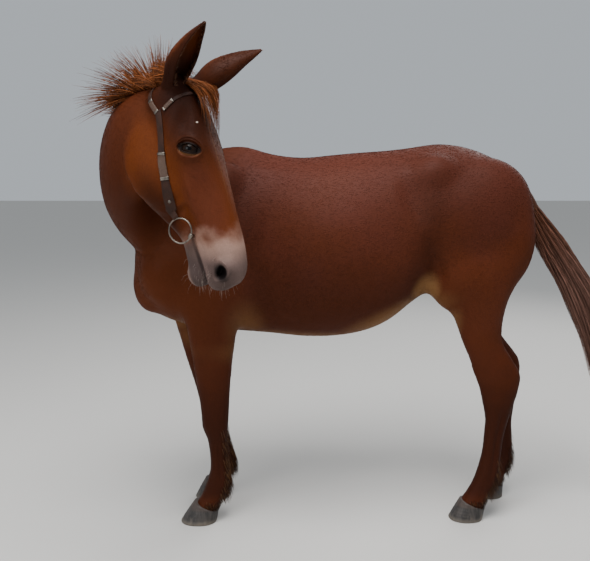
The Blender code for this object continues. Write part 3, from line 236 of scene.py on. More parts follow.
# Forms on the head, on both sides: along, deep, side, radii the same way round, turn, height
HEAD_FORMS = (
    (0.2, 0.05, 0.09, (0.05, 0.04, 0.05), 0, 0.018),
    (0.2, 0.085, 0.09, (0.05, 0.022, 0.04), 0, 0.008),
    (0.115, 0.05, 0.08, (0.06, 0.03, 0.04), -15, -0.01),
    (0.12, 0.1, 0.085, (0.06, 0.022, 0.05), -25, 0.006),
    (0.33, 0.105, 0.07, (0.11, 0.018, 0.04), -4, 0.009),
    (0.24, 0.235, 0.07, (0.12, 0.085, 0.06), 0, 0.008),
    (0.4, 0.15, 0.06, (0.08, 0.04, 0.05), 12, -0.007),
    (0.32, 0.06, 0.06, (0.1, 0.03, 0.05), 0, -0.004),
    (0.585, 0.07, 0.05, (0.045, 0.04, 0.04), 25, 0.012),
    (0.63, 0.115, 0.035, (0.035, 0.04, 0.05), 0, 0.008),
    (0.52, 0.11, 0.055, (0.05, 0.03, 0.04), 0, -0.004),
)

# The ears: side of the head, root and tip on it, and which way the opening looks (down, ahead and out).
# Then the cup from root to tip: share of its length, half width, half depth, half angle of the opening, and
# how far its middle is to the front. Then the root: distance and radius.
EARS = {
    "right": (1, (-0.008, 0.076, 0.044), (-0.11, -0.145, 0.16), (0.6, 0.35, 0.1)),
    "left": (-1, (0.002, 0.05, 0.05), (-0.062, -0.187, 0.15), (0.8, 0.2, 1.0)),
}
EAR_CUP = (
    (-0.17, 0.03, 0.03, 0.12, 0.0),
    (-0.08, 0.034, 0.032, 0.28, -0.001),
    (0.0, 0.037, 0.033, 0.5, -0.002),
    (0.12, 0.044, 0.037, 0.7, -0.006),
    (0.28, 0.048, 0.04, 0.9, -0.009),
    (0.46, 0.045, 0.036, 1.05, -0.009),
    (0.66, 0.034, 0.027, 1.2, -0.007),
    (0.83, 0.022, 0.016, 1.25, -0.003),
    (0.95, 0.01, 0.007, 1.2, 0.0),
    (1.0, 0.004, 0.003, 1.1, 0.0),
)
EAR_ROOT = ((0.0, 0.026), (0.018, 0.034), (0.036, 0.033), (0.05, 0.02))
EAR_START = 0.036
EAR_WALL = 0.0042
EAR_BREADTH = {"right": 1.04, "left": 1.24}

# Eye, nostrils and mouth on the head
EYE_PLACE = (0.2, 0.063, 0.0675)
EYE_RADIUS = 0.029
SLIT_HALF = 0.0345
LID_RISE = 0.015
LID_FALL = 0.0125
LID_REACH = 0.05
LID_FLOOR = 0.014
LID_SIDES = 120
# Folds round the eye: how far out between the slit and the face, how wide, how high, and which lid
LID_FOLDS = (
    (0.05, 0.05, 0.001, 1),
    (0.21, 0.045, -0.003, 1),
    (0.33, 0.06, 0.0026, 1),
    (0.46, 0.045, -0.0016, 1),
    (0.6, 0.09, 0.0018, 1),
    (0.06, 0.06, 0.001, -1),
    (0.26, 0.06, -0.0018, -1),
    (0.42, 0.08, 0.0012, -1),
)
NOSTRIL = (0.592, 0.093, 0.058)
MOUTH = ((0.447, 0.159), (0.48, 0.161), (0.53, 0.163), (0.58, 0.165), (0.63, 0.168), (0.69, 0.172))
MOUTH_CORNER = (0.455, 0.159)
RING_MIDDLE = (0.428, 0.189)

# Tail: middle, half thickness in the side view, half thickness across
TAIL = (
    (0.86, 0.0, 1.345, 0.028, 0.03),
    (0.905, 0.0, 1.332, 0.036, 0.036),
    (0.945, 0.0, 1.268, 0.04, 0.04),
    (1.0, 0.0, 1.178, 0.047, 0.046),
    (1.065, 0.0, 1.078, 0.054, 0.051),
    (1.133, 0.003, 0.975, 0.06, 0.054),
    (1.194, 0.01, 0.868, 0.062, 0.054),
    (1.243, 0.02, 0.755, 0.06, 0.05),
    (1.283, 0.03, 0.63, 0.054, 0.042),
    (1.31, 0.038, 0.5, 0.036, 0.028),
    (1.322, 0.04, 0.4, 0.006, 0.006),
)
DOCK_REACH = 0.4

MANE_ROOTS = (Vector((-0.545, -0.43, 1.655)), Vector((-0.472, -0.468, 1.68)))

# Straps through places on the right side of the head, the side out
CHEEKPIECE = (
    (0.376, 0.196, 0.075),
    (0.338, 0.185, 0.085),
    (0.26, 0.168, 0.095),
    (0.183, 0.155, 0.1),
    (0.127, 0.139, 0.1),
    (0.074, 0.128, 0.105),
)
CROWN = (
    (0.058, 0.13, 0.105),
    (0.016, 0.15, 0.1),
    (-0.022, 0.152, 0.085),
    (-0.05, 0.145, 0.055),
    (-0.062, 0.136, 0.0),
)
BROW = (
    (0.056, 0.104, 0.105),
    (0.04, 0.066, 0.1),
    (0.03, 0.03, 0.085),
    (0.026, 0.0, 0.05),
    (0.026, -0.006, 0.0),
)
CHEEKPIECE_TOP = (0.052, 0.128, 0.105)
# Where the keepers are, as shares of the cheekpiece from its foot, and how wide its plaited sleeve is
KEEPER_SHARES = (0.4, 0.6)
WRAP_WIDTH = 0.0262
# Width of the cheekpiece at shares of its length from the top down to the ring
CHEEKPIECE_SHARES = (0.0, 0.1, 0.62, 0.74, 0.9, 0.97, 1.0)
CHEEKPIECE_WIDTHS = (0.028, 0.023, 0.024, 0.034, 0.036, 0.024, 0.02)

# How wide a tuft's patch is in the unwrap
PATCH = 0.003
# The trunk's coat ends and that of the legs starts at this height
LEG_TOP = 0.76

# Marks and painted shade on both sides of the body: middle (side is out), radii, how soft, turn in the side
# view, share, colour
# The dark ones are painted shade: under the belly, on the neck, in the flank hollow, behind the shoulder, on
# the croup and on the barrel; the amber ones are the coat's own colour
BODY_MARKS_AND_SHADE = (
    ((0.1, 0.1, 0.88), (0.62, 0.32, 0.19), 0.7, 0, 0.4, "dark"),
    ((-0.44, 0.1, 1.02), (0.22, 0.24, 0.26), 0.45, 0, 0.45, "amber"),
    ((-0.4, 0.3, 1.4), (0.26, 0.3, 0.34), 0.6, 0, 0.45, "dark"),
    ((0.66, 0.16, 0.92), (0.16, 0.16, 0.18), 0.45, 0, 0.35, "amber"),
    ((0.49, 0.27, 1.14), (0.045, 0.16, 0.2), 0.9, 8, 0.4, "dark"),
    ((-0.16, 0.27, 1.1), (0.05, 0.16, 0.24), 0.9, -12, 0.3, "dark"),
    ((0.6, 0.18, 1.33), (0.24, 0.24, 0.17), 0.9, 0, 0.42, "dark"),
    ((0.2, 0.26, 1.12), (0.3, 0.2, 0.17), 0.9, 0, 0.22, "dark"),
)
# Pale marks under the body, in the same way: belly line, flank, groin, elbow, breast and gaskin
BELLY_MARKS = (
    ((0.05, 0.0, 0.725), (0.52, 0.18, 0.076), 0.45, 0, 1.0),
    ((0.4, 0.05, 0.86), (0.2, 0.22, 0.058), 0.6, -22, 1.0),
    ((0.5, 0.17, 0.96), (0.05, 0.09, 0.075), 0.45, 0, 1.0),
    ((-0.19, 0.14, 0.81), (0.06, 0.12, 0.1), 0.8, 0, 0.45),
    ((-0.5, 0.04, 0.8), (0.12, 0.12, 0.05), 0.45, 0, 0.6),
    ((0.6, 0.1, 0.8), (0.045, 0.09, 0.16), 0.5, 12, 0.7),
)
# Marks and painted light on both sides of the head: along, deep and out, radii the same way round, how soft,
# share, colour
HEAD_MARKS_AND_PAINTED_LIGHT = (
    ((0.23, 0.22, 0.07), (0.17, 0.13, 0.1), 0.4, 0.95, "amber"),
    ((0.08, 0.04, 0.05), (0.16, 0.085, 0.12), 0.6, 0.88, "dark"),
    ((-0.01, 0.09, 0.05), (0.09, 0.1, 0.12), 0.6, 0.75, "dark"),
    # Painted sheen on the nose
    ((0.36, 0.07, 0.05), (0.13, 0.06, 0.08), 0.4, 0.45, "sheen"),
    # Painted shade under the jaw
    ((0.36, 0.235, 0.05), (0.14, 0.055, 0.12), 0.6, 0.7, "dark"),
    # Painted highlight down the line of the face
    ((0.25, 0.002, 0.021), (0.12, 0.012, 0.0022), 0.6, 0.22, "pale"),
)
# Veins and folds of the face: places (along, deep), width, height
FACE_RIDGES = (
    (((0.3, 0.118), (0.35, 0.13), (0.39, 0.122), (0.44, 0.106), (0.48, 0.08)), 0.006, 0.0012),
    (((0.35, 0.13), (0.4, 0.142), (0.45, 0.138), (0.49, 0.126)), 0.0055, 0.001),
    (((0.255, 0.088), (0.29, 0.066), (0.33, 0.056), (0.37, 0.04)), 0.0055, 0.0008),
    (((0.125, 0.285), (0.225, 0.316), (0.315, 0.29), (0.352, 0.225), (0.345, 0.15)), 0.01, 0.003),
    (((0.375, 0.235), (0.372, 0.17), (0.36, 0.14)), 0.012, -0.0035),
    (((0.432, 0.15), (0.446, 0.168), (0.452, 0.19)), 0.0035, -0.0022),
)

# Near-black in the nostrils: their dark skin together with painted shade in the hollow
NOSTRIL_SKIN_AND_SHADE = (0.006, 0.004, 0.004)
# A small pale fleck on the right of the forehead
FLECK_COLOUR = (0.55, 0.46, 0.38)

# The photograph's width in pixels, and the camera's sensor width that goes with it
PICTURE_WIDTH = 590
SENSOR_WIDTH = 36
# Lights: place, size and power, and the point that all of them face
LIGHTS = {
    "sky light": ((-0.4, -1.4, 4.6), 2.6, 250),
    "front light": ((-3.4, -3.6, 2.6), 2.6, 80),
    "rear light": ((2.4, 3.4, 3.4), 3.0, 90),
}
LIT_POINT = Vector((0, 0, 0.9))
SKY_COLOUR = (0.8, 0.86, 0.92, 1)
SKY_STRENGTH = 0.58


# Settings


def colour(name, description, value):
    return FloatVectorProperty(
        name=name, description=description, subtype="COLOR", size=3, min=0, max=1, default=value
    )


def length(name, description, value):
    return FloatProperty(
        name=name, description=description, subtype="DISTANCE", unit="LENGTH", min=0, default=value
    )


def number(name, description, value):
    return IntProperty(name=name, description=description, min=0, default=value)


class MuleCoatSettings(bpy.types.PropertyGroup):
    red: colour("Red", "Main colour of the coat", (0.076, 0.017, 0.005))
    # Painted sheen: a lighter, more purple colour laid along the top of the trunk and on the nose in place of
    # the coat's gloss
    sheen: colour("Back", "Colour along the back, shoulder and croup", (0.084, 0.0215, 0.0135))
    amber: colour("Cheek", "Colour of the cheek, chest and neck", (0.106, 0.0235, 0.004))
    # Dark points are also laid on as painted shade on the body and under the jaw
    dark: colour("Dark points", "Colour of the lower legs and the forehead", (0.019, 0.004, 0.0012))
    # Pale points also give the painted highlight down the line of the face
    pale: colour("Pale points", "Colour round the eyes, on belly, elbow and flank", (0.2, 0.098, 0.036))
    mealy: colour("Muzzle", "Colour of the muzzle", (0.33, 0.205, 0.16))
    grey: colour("Lips", "Colour of the hair round the nostrils and on the lips", (0.095, 0.066, 0.062))
    skin: colour("Bare skin", "Colour of the bare skin at the nostrils, lips and lids", (0.03, 0.02, 0.018))
    depth: length("Coat depth", "How far the skin lies inside the tips of the coat", 0.0022)
    tuft: length("Tuft length", "Length of a tuft on the trunk", 0.014)
    width: length("Tuft width", "Width of a tuft on the trunk", 0.0021)
    tufts: number("Tufts", "Tufts on each square metre of skin", 22000)


class MuleHairSettings(bpy.types.PropertyGroup):
    mane: colour("Mane", "Colour of the mane and forelock", (0.185, 0.053, 0.014))
    tail_top: colour("Tail root", "Colour of the tail near the dock", (0.14, 0.05, 0.025))
    tail: colour("Tail", "Colour of the long hair of the tail", (0.185, 0.092, 0.068))
    # The golden feather colour is partly the hair's own colour and partly painted backlight shining through the
    # fringe
    feather: colour("Feather", "Colour of the hair behind the fetlocks", (0.15, 0.072, 0.03))
    strand: length("Strand width", "Half width of a strand of long hair", 0.0013)
    mane_strands: number("Mane strands", "Strands behind the ears", 620)
    crest_strands: number("Crest strands", "Strands along the crest", 900)
    forelock_strands: number("Forelock strands", "Strands between the ears", 380)
    tail_strands: number("Tail strands", "Strands in the tail", 2300)


class MuleBridleSettings(bpy.types.PropertyGroup):
    leather: colour("Leather", "Colour of the straps", (0.022, 0.008, 0.0045))
    edge: colour("Leather edges", "Colour of worn edges of the straps", (0.06, 0.026, 0.014))
    rawhide: colour("Rawhide", "Colour of the plaited sleeves", (0.074, 0.034, 0.017))
    silver: colour("Silver", "Colour of the rings, keepers and bit", (0.22, 0.19, 0.16))
    ring: length("Ring radius", "Radius of a bit ring", 0.0405)
    wire: length("Ring wire", "Radius of a bit ring's wire", 0.0028)


class MuleStageSettings(bpy.types.PropertyGroup):
    distance: length("Camera distance", "From the mule's middle line to the camera", 2.82)
    height: length("Camera height", "Height of the camera", 1.422)
    pitch: FloatProperty(
        name="Camera pitch", description="How far it looks down", subtype="ANGLE", default=math.radians(9)
    )
    focal: FloatProperty(name="Focal length", description="In pixels of the photograph", default=700.0)
    floor: colour("Floor", "Colour of the floor", (0.62, 0.6, 0.57))


def settings(name):
    return getattr(bpy.context.scene, "mule_" + name)


# Materials


class Wire:
    """A value in a material, with arithmetic that adds its Math nodes."""

    def __init__(self, sheet, socket):
        self.sheet = sheet
        self.socket = socket

    def _math(self, operation, first, second=None):
        values = {0: first} if second is None else {0: first, 1: second}
        return self.sheet.node("Math", {"operation": operation}, values).out(0)

    def __add__(self, other):
        return self._math("ADD", self, other)

    def __sub__(self, other):
        return self._math("SUBTRACT", self, other)

    def __mul__(self, other):
        return self._math("MULTIPLY", self, other)

    def __truediv__(self, other):
        return self._math("DIVIDE", self, other)

    def __pow__(self, other):
        return self._math("POWER", self, other)

    def __rsub__(self, other):
        return self._math("SUBTRACT", other, self)

    __radd__ = __add__
    __rmul__ = __mul__

    def largest(self, other):
        return self._math("MAXIMUM", self, other)

    def sine(self):
        return self._math("SINE", self)

    def size(self):
        """The value without its sign."""
        return self._math("ABSOLUTE", self)

    def ramp(self, low, high):
        """Smoothly from 0 at low to 1 at high."""
        values = {"Value": self, "From Min": low, "From Max": high}
        return self.sheet.node("MapRange", {"interpolation_type": "SMOOTHSTEP"}, values).out("Result")


class Made:
    """A node of a sheet, for its outputs."""

    def __init__(self, sheet, node):
        self.sheet = sheet
        self.node = node

    def out(self, name):
        return Wire(self.sheet, self.node.outputs[name])


class Sheet:
    """A material built up from nodes round its Principled shader."""

    def __init__(self, name):
        self.material = bpy.data.materials.new(name)
        self.material.use_nodes = True
        self.tree = self.material.node_tree
        self.shader = self.tree.nodes["Principled BSDF"]
        self.place = self.node("TexCoord").out("Object")

    def node(self, kind, options=None, values=None):
        """A node of one kind: its options are set first, then its sockets' values or links."""
        node = self.tree.nodes.new("ShaderNode" + kind)
        for name, value in (options or {}).items():
            setattr(node, name, value)
        for name, value in (values or {}).items():
            self.feed(node.inputs[name], value)
        return Made(self, node)

    def feed(self, socket, value):
        if isinstance(value, Wire):
            self.tree.links.new(value.socket, socket)
        else:
            socket.default_value = value

    def set(self, **values):
        """Values or links for sockets of the shader, spaces written as underscores."""
        for name, value in values.items():
            if name == "Base_Color" and not isinstance(value, Wire):
                value = rgba(value)
            self.feed(self.shader.inputs[name.replace("_", " ")], value)
        return self

    def mix(self, share, first, second):
        """Colours mixed by share."""
        node = self.node("Mix", {"data_type": "RGBA"}).node
        for index, value in ((0, share), (6, first), (7, second)):
            self.feed(node.inputs[index], value if isinstance(value, Wire) or index == 0 else rgba(value))
        return Wire(self, node.outputs[2])

    def tinted(self, base, tone):
        """A colour made lighter or darker by a value around 1."""
        grey = self.node("CombineXYZ", None, {"X": tone, "Y": tone, "Z": tone}).out(0)
        return self.node("VectorMath", {"operation": "MULTIPLY"}, {0: base, 1: grey}).out(0)

    def noise(self, scale, detail=2.0, place=None):
        values = {"Vector": place or self.place, "Scale": scale, "Detail": detail}
        return self.node("TexNoise", None, values).out("Fac")

    def stretched(self, scale):
        """Object coordinates times a scale for each axis."""
        return self.node("VectorMath", {"operation": "MULTIPLY"}, {0: self.place, 1: scale}).out(0)

    def axis(self, name):
        """One of the object coordinates."""
        return self.node("SeparateXYZ", None, {0: self.place}).out(name)

    def dot(self, origin, direction):
        """How far a point lies from origin along a direction."""
        away = self.node("VectorMath", {"operation": "SUBTRACT"}, {0: self.place, 1: tuple(origin)}).out(0)
        values = {0: away, 1: tuple(direction)}
        return self.node("VectorMath", {"operation": "DOT_PRODUCT"}, values).out("Value")

    def reach(self, origin, *halves):
        """How far a point is from origin, in the half widths of an ellipse along two directions."""
        across, up = (self.dot(origin, direction) / half for direction, half in halves)
        return (across * across + up * up) ** 0.5

    def patch(self, centre, radii, soft, place, turn=0):
        """1 inside an ellipsoid, fading to 0 outside it."""
        away = self.node("VectorMath", {"operation": "SUBTRACT"}, {0: place, 1: tuple(centre)}).out(0)
        if turn:
            values = {"Vector": away, "Angle": math.radians(-turn)}
            away = self.node("VectorRotate", {"rotation_type": "Y_AXIS"}, values).out(0)
        scale = tuple(1 / r for r in radii)
        away = self.node("VectorMath", {"operation": "MULTIPLY"}, {0: away, 1: scale}).out(0)
        reach = self.node("VectorMath", {"operation": "LENGTH"}, {0: away}).out("Value")
        return reach.ramp(1 + soft, 1 - soft)

    def bump(self, height, distance, strength=1.0):
        values = {"Height": height, "Distance": distance, "Strength": strength}
        self.set(Normal=self.node("Bump", None, values).out("Normal"))
        return self

    def attribute(self, name):
        return self.node("Attribute", {"attribute_name": name}).out("Fac")


def rgba(value):
    return (*tuple(value)[:3], 1.0)


def shade(value, share):
    return tuple(part * share for part in value)


# Shapes


def linked(name, mesh):
    made = bpy.data.objects.new(name, mesh)
    bpy.context.scene.collection.objects.link(made)
    return made


def from_bmesh(name, shape):
    mesh = bpy.data.meshes.new(name)
    shape.to_mesh(mesh)
    shape.free()
    return linked(name, mesh)


def on_head(along, deep, side=0.0):
    """A place on the head as a point in the mule's frame."""
    return POLL + HEAD_ALONG * along - HEAD_OUT * deep + HEAD_RIGHT * side


def head_places(points):
    """Points as places on the head: along, deep and side."""
    away = points - np.array(POLL)
    return away @ np.array(HEAD_ALONG), -(away @ np.array(HEAD_OUT)), away @ np.array(HEAD_RIGHT)


def head_spots(place):
    """A place on the head as the points on its left and right."""
    along, deep, out = place
    return [on_head(along, deep, out * side) for side in (-1, 1)]


def between(rows, count):
    """Catmull-Rom values at count even places along rows of numbers, both ends included."""
    table = np.array(rows, float)
    last = len(table) - 1
    found = []
    for place in np.linspace(0, last, count):
        i = min(int(place), last - 1)
        t = place - i
        before, start, end, after = (table[min(max(j, 0), last)] for j in (i - 1, i, i + 1, i + 2))
        bend = (2 * before - 5 * start + 4 * end - after) * t**2
        bend = bend + (3 * start - before - 3 * end + after) * t**3
        found.append(0.5 * (2 * start + (end - before) * t + bend))
    return found


def oval(centre, across, up, half_across, half_up, half_down, power_up=2.0, power_down=2.0, sides=24):
    """A closed ring of points: a superellipse whose upper and lower halves may differ."""
    ring = []
    for i in range(sides):
        angle = 2 * math.pi * i / sides
        c, s = math.cos(angle), math.sin(angle)
        power = power_up if s >= 0 else power_down
        x = math.copysign(abs(c) ** (2 / power), c) * half_across
        y = math.copysign(abs(s) ** (2 / power), s) * (half_up if s >= 0 else half_down)
        ring.append(centre + across * x + up * y)
    return ring


def ring_edges(shape, ring, cap=False):
    """The edges of a new circle whose points are moved to a ring."""
    made = bmesh.ops.create_circle(shape, cap_ends=cap, segments=len(ring), radius=1)["verts"]
    for vert, place in zip(made, ring):
        vert.co = place
    return list(dict.fromkeys(edge for vert in made for edge in vert.link_edges))


def loft(rings, name="loft", closed=False):
    """A body through rings of the same number of points, its ends filled unless it is closed on itself."""
    shape = bmesh.new()
    loops = [ring_edges(shape, ring) for ring in rings]
    if closed:
        loops.append(loops[0])
    for low, high in zip(loops, loops[1:]):
        bmesh.ops.bridge_loops(shape, edges=low + high)
    if not closed:
        bmesh.ops.holes_fill(shape, edges=loops[0] + loops[-1], sides=0)
    bmesh.ops.recalc_face_normals(shape, faces=shape.faces)
    return from_bmesh(name, shape)


def add_ball(shape, centre, radii, axes=None, segments=24, rings=14):
    """An ellipsoid with its three radii along axes, the world's if none are given."""
    made = bmesh.ops.create_uvsphere(shape, u_segments=segments, v_segments=rings, radius=1)["verts"]
    turn = Matrix([list(a) for a in axes]).transposed() if axes else Matrix.Identity(3)
    place = Matrix.Translation(centre) @ turn.to_4x4() @ Matrix.Diagonal((*radii, 1))
    bmesh.ops.transform(shape, matrix=place, verts=made)


def ball(centre, radii, axes=None):
    shape = bmesh.new()
    add_ball(shape, Vector(centre), radii, axes)
    bmesh.ops.recalc_face_normals(shape, faces=shape.faces)
    return from_bmesh("ball", shape)


def joined(parts, name):
    """One object that holds the meshes of parts, which are removed."""
    shape = bmesh.new()
    for part in parts:
        shape.from_mesh(part.data)
    for part in parts:
        bpy.data.objects.remove(part)
    return from_bmesh(name, shape)


def applied(made):
    """The object with its modifiers made real."""
    bpy.context.view_layer.update()
    graph = bpy.context.evaluated_depsgraph_get()
    mesh = bpy.data.meshes.new_from_object(made.evaluated_get(graph))
    made.modifiers.clear()
    made.data = mesh
    return made


def fused(parts, name, voxel):
    """One closed body in place of parts that run into each other."""
    body = joined(parts, name)
    remesh = body.modifiers.new("Remesh", "REMESH")
    remesh.mode = "VOXEL"
    remesh.voxel_size = voxel
    return applied(body)


def read(items, name, width=3, kind=float):
    """One property of all the items of a mesh, as the rows of an array."""
    values = np.empty(len(items) * width, dtype=kind)
    items.foreach_get(name, values)
    return values.reshape(-1, width)


def read_surface(made):
    """The points of an object's mesh and the directions out of it there."""
    return read(made.data.vertices, "co"), read(made.data.vertices, "normal")


def write_points(mesh, points):
    mesh.vertices.foreach_set("co", points.ravel())
    mesh.update()


def soften(made, rounds, back=0.5, weight=None):
    """Each vertex drawn towards its neighbours, and back again by a little less so that thickness stays."""
    mesh = made.data
    points = read(mesh.vertices, "co")
    first, second = read(mesh.edges, "vertices", 2, np.int64).T
    count = len(points)
    shares = np.bincount(first, minlength=count) + np.bincount(second, minlength=count)
    pull = np.ones(count) if weight is None else weight(points)
    for turn in range(rounds * 2):
        step = 0.52 if turn % 2 == 0 else -back
        for axis in range(3):
            column = points[:, axis]
            total = np.bincount(first, column[second], count) + np.bincount(second, column[first], count)
            points[:, axis] = column + step * pull * (total / shares - column)
    write_points(mesh, points)
    return made


def raise_form(points, normals, centre, radii, axes, height):
    """Points inside an ellipsoid moved along their normals, most at its middle and not at all at its edge."""
    away = (points - np.array(centre)) @ np.array([list(a) for a in axes]).T / np.array(radii)
    reach = np.clip(1 - (away**2).sum(axis=1), 0, 1) ** 2
    points += normals * (height * reach)[:, None]


def smoothstep(low, high, values):
    share = np.clip((values - low) / (high - low), 0, 1)
    return share * share * (3 - 2 * share)


def piece(made, material, *nodes, smooth=True):
    """Finishes a piece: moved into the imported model's frame, given its material and set on the root."""
    made.data.transform(Matrix.Translation(MOVE))
    made.data.materials.clear()
    made.data.materials.append(material)
    if smooth:
        made.data.shade_smooth()
    else:
        made.data.shade_flat()
    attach(made, "root")
    if nodes:
        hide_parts(*nodes)


# Body and head


def torso_loft():
    rings = []
    for x, top, bottom, middle, half_width, *powers in between(TORSO, 52):
        halves = (half_width, top - middle, middle - bottom)
        rings.append(oval(Vector((x, 0, middle)), RIGHT, UP, *halves, *powers, 40))
    return loft(rings)


def neck_frames(count):
    """Places along the neck: centre, heading, up, across, half depth and half width."""
    rows = between(NECK, count)
    found = []
    for i, row in enumerate(rows):
        before, after = rows[max(i - 1, 0)], rows[min(i + 1, len(rows) - 1)]
        heading = Vector(after[:3] - before[:3]).normalized()
        up = (UP - heading * heading.z).normalized()
        found.append((Vector(row[:3]), heading, up, heading.cross(up), row[3], row[4]))
    return found


def neck_loft():
    rings = []
    for centre, _, up, across, deep, wide in neck_frames(30):
        rings.append(oval(centre, across, up, wide, deep, deep, 1.9, 2.2, 28))
    return loft(rings)


def leaned(degrees):
    """The world's directions leaned in the side view."""
    spin = Matrix.Rotation(math.radians(degrees), 3, RIGHT)
    return [spin @ axis for axis in (REAR, RIGHT, UP)]


def body_masses():
    made = [ball(*WITHERS)]
    for (x, out, z), radii, lean in BODY_MASSES:
        made.extend(ball((x, side * out, z), radii, leaned(lean)) for side in (-1, 1))
    return made


def limb_middle(name, row):
    """The middle of a limb at one of its stations."""
    table, _, foot, off, slope = LIMBS[name]
    z, x, _, _, side = row
    low = table[-1][0]
    share = min(max((z - low) / (0.9 - low), 0), 1)
    y = math.copysign(1, foot) * (abs(foot) * (1 - share) + side * share)
    lean = (off + slope * min(z, 0.95)) * min(max((1.15 - z) / 0.3, 0), 1)
    return Vector((x + lean, y, z))


def limb_loft(name):
    """A limb from inside the trunk to inside its hoof."""
    rings = []
    for row in between(LIMBS[name][0], 50):
        _, _, half_x, half_y, _ = row
        rings.append(oval(limb_middle(name, row), REAR, RIGHT, half_x, half_y, half_y, 2.1, 2.1))
    return loft(rings)


def off_limb(name, points):
    """How far points are behind a limb's middle line and beside it, and its half length at their height."""
    rows = between(LIMBS[name][0], 60)[::-1]
    heights = [row[0] for row in rows]
    middles = np.array([limb_middle(name, row) for row in rows])
    columns = (middles[:, 0], middles[:, 1], [row[2] for row in rows])
    x, y, half = (np.interp(points[:, 2], heights, column) for column in columns)
    return points[:, 0] - x, points[:, 1] - y, half


def head_loft(rows, widest_of):
    """A body through stations down the head."""
    rings = []
    for row in rows:
        along, top, under, half_width = row[:4]
        widest = widest_of(row)
        halves = (half_width, widest - top, under - widest)
        rings.append(oval(on_head(along, widest), HEAD_RIGHT, HEAD_OUT, *halves, 2.4, 2.1, 32))
    return loft(rings)


def head_masses():
    """The skull, jaws, muzzle and lips as bodies that run into each other."""
    made = [head_loft(between(FACE, 40), lambda row: row[4])]
    made.append(head_loft(between(JAW, 26), lambda row: (row[1] + row[2]) / 2))
    for along, deep, out, radii in HEAD_MASSES:
        for side in (-1, 1) if out else (1,):
            made.append(ball(on_head(along, deep, side * out), radii, (HEAD_ALONG, HEAD_OUT, HEAD_RIGHT)))
    return made


def whole_body():
    """The animal in one surface, without its hooves, eyes and tail."""
    parts = [torso_loft(), neck_loft(), *body_masses(), *(limb_loft(name) for name in LIMBS)]
    body = fused(parts, "body", BODY_VOXEL)
    soften(body, 22, 0.0, lambda p: np.clip((p[:, 2] - 0.78) / 0.15, 0, 1))
    soften(body, 8)
    points, normals = read_surface(body)
    for (x, side, z), radii, turn, height in BODY_FORMS:
        for y in (-side, side):
            raise_form(points, normals, (x, y, z), radii, leaned(turn), height)
    write_points(body.data, points)
    head = soften(fused(head_masses(), "head", HEAD_VOXEL), 9, 0.0)
    points, normals = read_surface(head)
    for along, deep, side, radii, turn, height in HEAD_FORMS:
        spin = Matrix.Rotation(math.radians(turn), 3, HEAD_RIGHT)
        for out in (-side, side):
            axes = (spin @ HEAD_ALONG, spin @ HEAD_OUT, HEAD_RIGHT)
            raise_form(points, normals, on_head(along, deep, out), radii, axes, height)
    write_points(head.data, points)
    whole = fused([body, head, *(ear_root(suffix) for suffix in EARS)], "skin", SKIN_VOXEL)
    return soften(whole, 6)


def ear_frame(suffix):
    """An ear's root and tip, the direction up it, across it and out of its opening."""
    side, *ends, (down, ahead, out) = EARS[suffix]
    root, tip = (on_head(along, deep, width * side) for along, deep, width in ends)
    opening = HEAD_ALONG * down + HEAD_OUT * ahead + HEAD_RIGHT * out * side
    axis = (tip - root).normalized()
    front = (opening - axis * opening.dot(axis)).normalized()
    return root, tip, axis, axis.cross(front), front


def off_ear(suffix, points):
    """How far up an ear's axis points are, and how far from it."""
    root, _, axis, _, _ = ear_frame(suffix)
    away = points - np.array(root)
    up = away @ np.array(axis)
    return up, np.linalg.norm(away - up[:, None] * np.array(axis), axis=1)


def ear_root(suffix):
    root, _, axis, across, front = ear_frame(suffix)
    rings = []
    for distance, radius in between(EAR_ROOT, 8):
        middle = root + axis * distance
        rings.append(oval(middle, across, front, radius, radius, radius))
    return loft(rings)


def ear_shell(suffix):
    """One ear: a tall leaf rolled into a cup that is open to the front, its foot inside the head."""
    root, tip, axis, across, front = ear_frame(suffix)
    long = (tip - root).length - EAR_START
    rings = []
    sides = 22
    for share, half_width, depth, half_open, lean in between(EAR_CUP, 46):
        middle = root + axis * (EAR_START + long * share) + front * lean
        half_width *= 1 + (EAR_BREADTH[suffix] - 1) * min(max(1.1 - share, 0), 1)
        wall = EAR_WALL * (1 - 0.7 * max(share, 0))
        outer, inner = [], []
        for i in range(sides + 1):
            turn = i / sides * 2 - 1
            angle = math.pi * 1.5 + turn * (math.pi - half_open)
            c, s = math.cos(angle), math.sin(angle)
            thin = wall * (1 - 0.55 * abs(turn) ** 3)
            outer.append(middle + across * c * half_width + front * s * depth)
            inner.append(middle + across * c * (half_width - thin) + front * s * (depth - thin))
        rings.append(outer + inner[::-1])
    return soften(loft(rings, "ear"), 1)


def with_ears(skin):
    """The skin joined with the ears, and smooth where they grow out of it."""
    for suffix in EARS:
        leaf = ear_shell(suffix)
        root, _, axis, _, _ = ear_frame(suffix)
        shape = bmesh.new()
        shape.from_mesh(skin.data)
        refine(shape, [(root + axis * 0.02, 0.075)])
        shape.to_mesh(skin.data)
        shape.free()
        union = skin.modifiers.new("Ear", "BOOLEAN")
        union.operation = "UNION"
        union.solver = "MANIFOLD"
        union.object = leaf
        applied(skin)
        bpy.data.objects.remove(leaf)

        def near_foot(points):
            up, off = off_ear(suffix, points)
            foot = smoothstep(-0.01, 0.01, up) * smoothstep(0.075, 0.045, up)
            return foot * smoothstep(0.09, 0.06, off)

        soften(skin, 12, 0.35, near_foot)
    return skin


